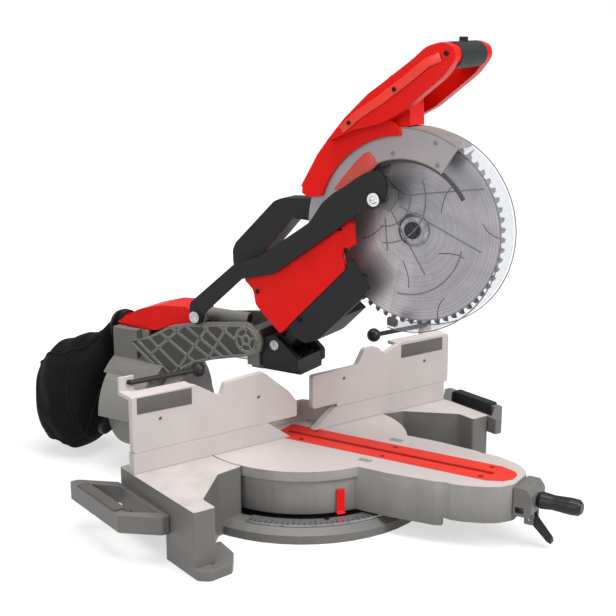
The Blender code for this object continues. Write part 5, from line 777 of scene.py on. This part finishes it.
def guard_pieces():
    paths = [[tuple(Vector(GUARD_PIN).lerp(Vector(end), i / SPOKE_STEPS)) for i in range(4, SPOKE_STEPS + 1)]
             for end in GUARD_SPOKES]
    paths += [ring_points(*ring) for ring in GUARD_RINGS]
    work = bmesh.new()
    for path in paths:
        run = []
        for point in path + [None]:
            if point and on_guard(point):
                run.append(point)
                continue
            if len(run) > 2:
                strip(work, run, GUARD_RIB_HALF, GUARD_FACE - SINK, GUARD_FACE + GUARD_RIB_PROUD,
                      PLANE_TO_WORLD, SOFT_EDGE)
            run = []
    lathe(work, PIN_BOSS, GUARD_PIN, GUARD_FACE, PLANE_TO_WORLD, 36)
    piece("lower_guard_ribs", work, CLEAR_RIB, "lower_guard")

    work = bmesh.new()
    for level in (GUARD_FACE - 2 * SINK, GUARD_RIGHT_FACE):
        tube(work, [world(a, z, level) for a, z in ring_points(ARBOR, 0.1314, -100.5, 97.5, 72)], 0.8 * MM)
    piece("lower_guard_rims", work, CLEAR_RIB, "lower_guard")

    work = bmesh.new()
    strip(work, ring_points(*TRIM_ARC), TRIM_HALF, GUARD_FACE - SINK, GUARD_FACE + TRIM_PROUD,
          PLANE_TO_WORLD, 0.6 * MM)
    slab(work, BUMPER, BUMPER_BACK, GUARD_FACE + TRIM_PROUD, PLANE_TO_WORLD, 1.2 * MM)
    piece("lower_guard_edge_trim", work, GUARD_TRIM, "lower_guard")

    work = bmesh.new()
    slab(work, RED_PATCH_EDGE, UPPER_FACE - SINK, UPPER_FACE + PLATE_PROUD, PLANE_TO_WORLD, SOFT_EDGE)
    piece("upper_guard_red_patch", work, RED_PATCH, "head")

    work = bmesh.new()
    for reach, start, end, steps, radius in ROLLED_EDGES:
        arc = ring_points(ARBOR, reach, start, end, steps)
        tube(work, [world(a, z, UPPER_FACE - 2 * SINK) for a, z in arc], radius)
    for heading, reach in RIVETS:
        lathe(work, RIVET, polar(ARBOR, reach, heading), UPPER_FACE, PLANE_TO_WORLD)
    piece("upper_guard_rolled_edges", work, GUARD_EDGE, "head")


# Blade: brazed carbide tips, whose outline is a reach and a lag in tooth pitches, and the cut slots, drawn
# as dark strips that paint the shade seen through them, whose points are a reach and a heading in degrees
TEETH = 60
TOOTH = ((0.1272, 0.0), (0.1263, 0.24), (0.1205, 0.16), (0.1205, -0.03))
TOOTH_HALF_WIDTH = 1.3 * MM
SLOTS = 5
EDGE_SLOT = ((0.1195, 0.0), (0.112, 1.0), (0.105, 3.2), (0.100, 6.4), (0.0975, 10.0))
BODY_SLOT = ((0.046, 34.0), (0.052, 41.0), (0.060, 46.0), (0.070, 49.0), (0.079, 49.0))
SLOT_HALF = 0.5 * MM
BLADE_FACE = 0.9 * MM
SLOT_PROUD = 0.12 * MM


def blade_pieces():
    work = bmesh.new()
    for tooth in range(TEETH):
        outline = [polar(ARBOR, reach, -360 / TEETH * (tooth + lag)) for reach, lag in TOOTH]
        slab(work, outline, -TOOTH_HALF_WIDTH, TOOTH_HALF_WIDTH, PLANE_TO_WORLD)
    piece("blade_carbide_tips", work, CARBIDE, "blade")

    # The slots are painted shade: black strips on both faces where the open slots would show the dark behind
    # the blade.
    work = bmesh.new()
    for k in range(SLOTS):
        for side in (1, -1):
            low, high = sorted((side * BLADE_FACE, side * (BLADE_FACE + SLOT_PROUD)))
            for path in (EDGE_SLOT, BODY_SLOT):
                cut = [polar(ARBOR, reach, 360 / SLOTS * k + heading) for reach, heading in path]
                strip(work, cut, SLOT_HALF, low, high, PLANE_TO_WORLD)
    piece("blade_cut_slots", work, BLACK_STEEL, "blade")


# Table: the kerf plate's screws, two side tabs, the marks of the mitre scale and its plate's screws
KERF_SCREWS = ((0.010, 0.020), (0.140, 0.020), (0.285, 0.019))
FLAT_HEAD = ((3.4 * MM, -SINK), (3.4 * MM, 0.3 * MM), (1.8 * MM, 0.3 * MM), (1.6 * MM, -0.1 * MM),
             (0.0, -0.1 * MM))
TAB_PLACE = (0.128, 0.046)
TAB_HALF = (9.5 * MM, 5 * MM)
SCALE_STEP, SCALE_REACH = 2.5, 24
SHORT_MARK, LONG_MARK, MARK_END = 0.1665, 0.1620, 0.1735
MARK_HALF = 0.45 * MM
PLATE_SCREW_HEADINGS = (-114, -66)
PLATE_SCREW_REACH = 0.1565


def table_pieces():
    work = bmesh.new()
    for a, l in KERF_SCREWS:
        for side in (1, -1):
            lathe(work, FLAT_HEAD, world(a, 0.0, side * l).xy, TABLE_TOP, FLOOR_TO_WORLD)
    piece("kerf_plate_screws", work, BLACK_STEEL, "turntable")

    work = bmesh.new()
    along, across = ALONG * TAB_HALF[0], LEFT * TAB_HALF[1]
    for side in (-1, 1):
        centre = world(TAB_PLACE[0], 0.0, side * TAB_PLACE[1])
        corners = [centre + along * i + across * j for i, j in ((-1, -1), (1, -1), (1, 1), (-1, 1))]
        slab(work, [c.xy for c in corners], TABLE_TOP - SINK, TABLE_TOP + 2 * SINK, FLOOR_TO_WORLD, SINK)
    piece("table_side_tabs", work, TAB_CAST, "turntable")

    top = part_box("mitre_detent_plate")[1].z
    work = bmesh.new()
    for step in range(-SCALE_REACH, SCALE_REACH + 1):
        mark = [polar((0.0, 0.0), reach, -90 + SCALE_STEP * step)
                for reach in (SHORT_MARK if step % 4 else LONG_MARK, MARK_END)]
        strip(work, mark, MARK_HALF, top - 0.1 * MM, top + 0.25 * MM, FLOOR_TO_WORLD)
    piece("mitre_scale_marks", work, BLACK_STEEL, "base")

    work = bmesh.new()
    for heading in PLATE_SCREW_HEADINGS:
        place = polar((0.0, 0.0), PLATE_SCREW_REACH, heading)
        screw(work, place, top, FLOOR_TO_WORLD, 3.6 * MM, 1.8 * MM)
    piece("detent_plate_screws", work, BLACK_STEEL, "base")


# Head: the housing's screws and dark slot, the handle's side mouldings and screws, the cover's screws
HOUSING_FACE = 0.044
HOUSING_SCREWS = ((0.094, 0.372), (-0.046, 0.300), (0.022, 0.268))
DARK_SLOT = ((0.078, 0.398), (0.088, 0.3995))
MOULDING_LINE = (
    (0.092, 0.530), (0.118, 0.551), (0.150, 0.571), (0.185, 0.596), (0.212, 0.617), (0.230, 0.624))
MOULDING_FACES = (0.0546, 0.0568)
HANDLE_SCREWS = ((0.104, 0.5395), (0.168, 0.5835), (0.237, 0.628))
HANDLE_SCREW_FACE = 0.0566
COVER_FACE = -0.0663
COVER_SCREWS = ((0.172, 0.432), (0.200, 0.386), (0.092, 0.330), (0.010, 0.286), (0.060, 0.378))
COVER_SCREW = ((3.4 * MM, SINK), (3.4 * MM, -1.2 * MM), (2.6 * MM, -1.8 * MM), (1.5 * MM, -1.8 * MM),
               (1.3 * MM, -0.6 * MM), (0.0, -0.6 * MM))
SCREW_HIGH = 1.4 * MM


def head_pieces():
    work = bmesh.new()
    for place in HOUSING_SCREWS:
        screw(work, place, HOUSING_FACE - SINK, PLANE_TO_WORLD, 3.6 * MM, SCREW_HIGH)
    piece("housing_screws", work, BLACK_STEEL, "head")

    work = bmesh.new()
    strip(work, DARK_SLOT, 1.6 * MM, HOUSING_FACE - SINK, HOUSING_FACE + 0.3 * MM, PLANE_TO_WORLD)
    piece("housing_dark_slot", work, SLOT_BLACK, "head")

    work = bmesh.new()
    for side in (-1, 1):
        low, high = sorted(side * face for face in MOULDING_FACES)
        strip(work, MOULDING_LINE, 6.2 * MM, low, high, PLANE_TO_WORLD, 1.6 * MM)
    piece("handle_side_mouldings", work, RED_LIT, "head")

    work = bmesh.new()
    for place in HANDLE_SCREWS:
        for face in (-HANDLE_SCREW_FACE - SCREW_HIGH, HANDLE_SCREW_FACE):
            screw(work, place, face, PLANE_TO_WORLD, 3.0 * MM, SCREW_HIGH)
    piece("handle_screws", work, BLACK_STEEL, "head")

    work = bmesh.new()
    for place in COVER_SCREWS:
        lathe(work, COVER_SCREW, place, COVER_FACE, PLANE_TO_WORLD)
    piece("belt_cover_screws", work, BLACK_STEEL, "head")


fence_pieces()
wall_lattice("left", 1)
wall_lattice("right", -1)
bag_pieces()
guard_pieces()
blade_pieces()
table_pieces()
head_pieces()

# Camera, floor and light
PIXELS = 616
FOCAL_PIXELS = 1212.05
SENSOR = 36.0
CAMERA_PLACE = (-0.96516, -1.3391, 0.67569)
CAMERA_DOWN = math.radians(13.71)
CAMERA_HEADING = math.radians(-36.05)
FLOOR_HALF = 6.0
DIM_SKY = 0.42
# Each lamp: name, place, what it points at, side and watts
LAMPS = (
    ("key_lamp", (0.9, -2.3, 2.1), (0.0, 0.0, 0.2), 1.3, 66.0),
    ("top_lamp", (-0.2, -0.2, 2.6), (0.0, 0.0, 0.2), 1.6, 48.0),
    ("fill_lamp", (-2.4, -0.9, 1.2), (0.0, 0.0, 0.25), 1.5, 24.0),
)


def put_camera():
    """The camera at the photograph's angle."""
    view = bpy.data.cameras.new("camera")
    view.sensor_width = SENSOR
    view.lens = SENSOR * FOCAL_PIXELS / PIXELS
    view.clip_end = 50.0
    camera = bpy.data.objects.new("camera", view)
    camera.location = CAMERA_PLACE
    camera.rotation_euler = (math.pi / 2 - CAMERA_DOWN, 0.0, CAMERA_HEADING)
    bpy.context.collection.objects.link(camera)
    bpy.context.scene.camera = camera


def seen_rays(tree, names):
    """1 for the rays by which the eye sees a backdrop, straight or by way of another surface."""
    path = add(tree, "LightPath")
    seen = (path, names[0])
    for name in names[1:]:
        seen = add(tree, "Math", {0: seen, 1: (path, name)}, operation="MAXIMUM")
    return seen


def lay_floor():
    """A pale painted floor that looks white and keeps the shadow."""
    made, tree, place = material_start("painted_studio_floor")
    tone = add(tree, "Mix", {
        "Factor": clouds(tree, place, 0.4, 2.0, 0.0, 0.2), "A": "ABAAA8", "B": "A4A3A1"}, **COLOURS)
    matt = add(tree, "BsdfDiffuse", {"Color": tone})
    away = add(tree, "VectorMath", {0: place}, operation="LENGTH")
    # The floor's own light grows away from the part, so that it meets the white backdrop with no line.
    lift = add(tree, "MapRange", {"Value": away, "From Min": 0.45, "From Max": 1.3, "To Min": 0.60})
    glow = add(tree, "Emission", {"Color": "FFFFFF", "Strength": lift})
    both = add(tree, "AddShader", {0: matt, 1: glow})
    seen = seen_rays(tree, ("Is Camera Ray", "Is Glossy Ray", "Is Transmission Ray"))
    kept = add(tree, "MixShader", {0: seen, 1: matt, 2: both})
    add(tree, "OutputMaterial", {"Surface": kept})

    work = bmesh.new()
    for i, j in ((-1, -1), (1, -1), (1, 1), (-1, 1)):
        work.verts.new((i * FLOOR_HALF, j * FLOOR_HALF, 0.0))
    work.faces.new(work.verts)
    data = bpy.data.meshes.new("floor")
    work.to_mesh(data)
    work.free()
    data.materials.append(made)
    floor = bpy.data.objects.new("floor", data)
    bpy.context.collection.objects.link(floor)


def light_studio():
    """Three soft lamps and a dim sky that the camera sees as white."""
    sky = bpy.data.worlds.new("studio")
    bpy.context.scene.world = sky
    sky.use_nodes = True
    tree = sky.node_tree
    tree.nodes.clear()
    seen = seen_rays(tree, ("Is Camera Ray", "Is Transmission Ray"))
    dim = add(tree, "Background", {"Color": "F6F6FA", "Strength": DIM_SKY})
    white = add(tree, "Background", {"Color": "FFFFFF", "Strength": 1.0})
    add(tree, "OutputWorld", {"Surface": add(tree, "MixShader", {0: seen, 1: dim, 2: white})})
    for name, place, aim, wide, power in LAMPS:
        lamp = bpy.data.lights.new(name, "AREA")
        lamp.shape = "SQUARE"
        lamp.size = wide
        lamp.energy = power
        held = bpy.data.objects.new(name, lamp)
        held.location = place
        held.rotation_euler = (Vector(aim) - Vector(place)).to_track_quat("-Z", "Y").to_euler()
        bpy.context.collection.objects.link(held)


put_camera()
lay_floor()
light_studio()
bpy.context.scene.view_settings.view_transform = "Standard"
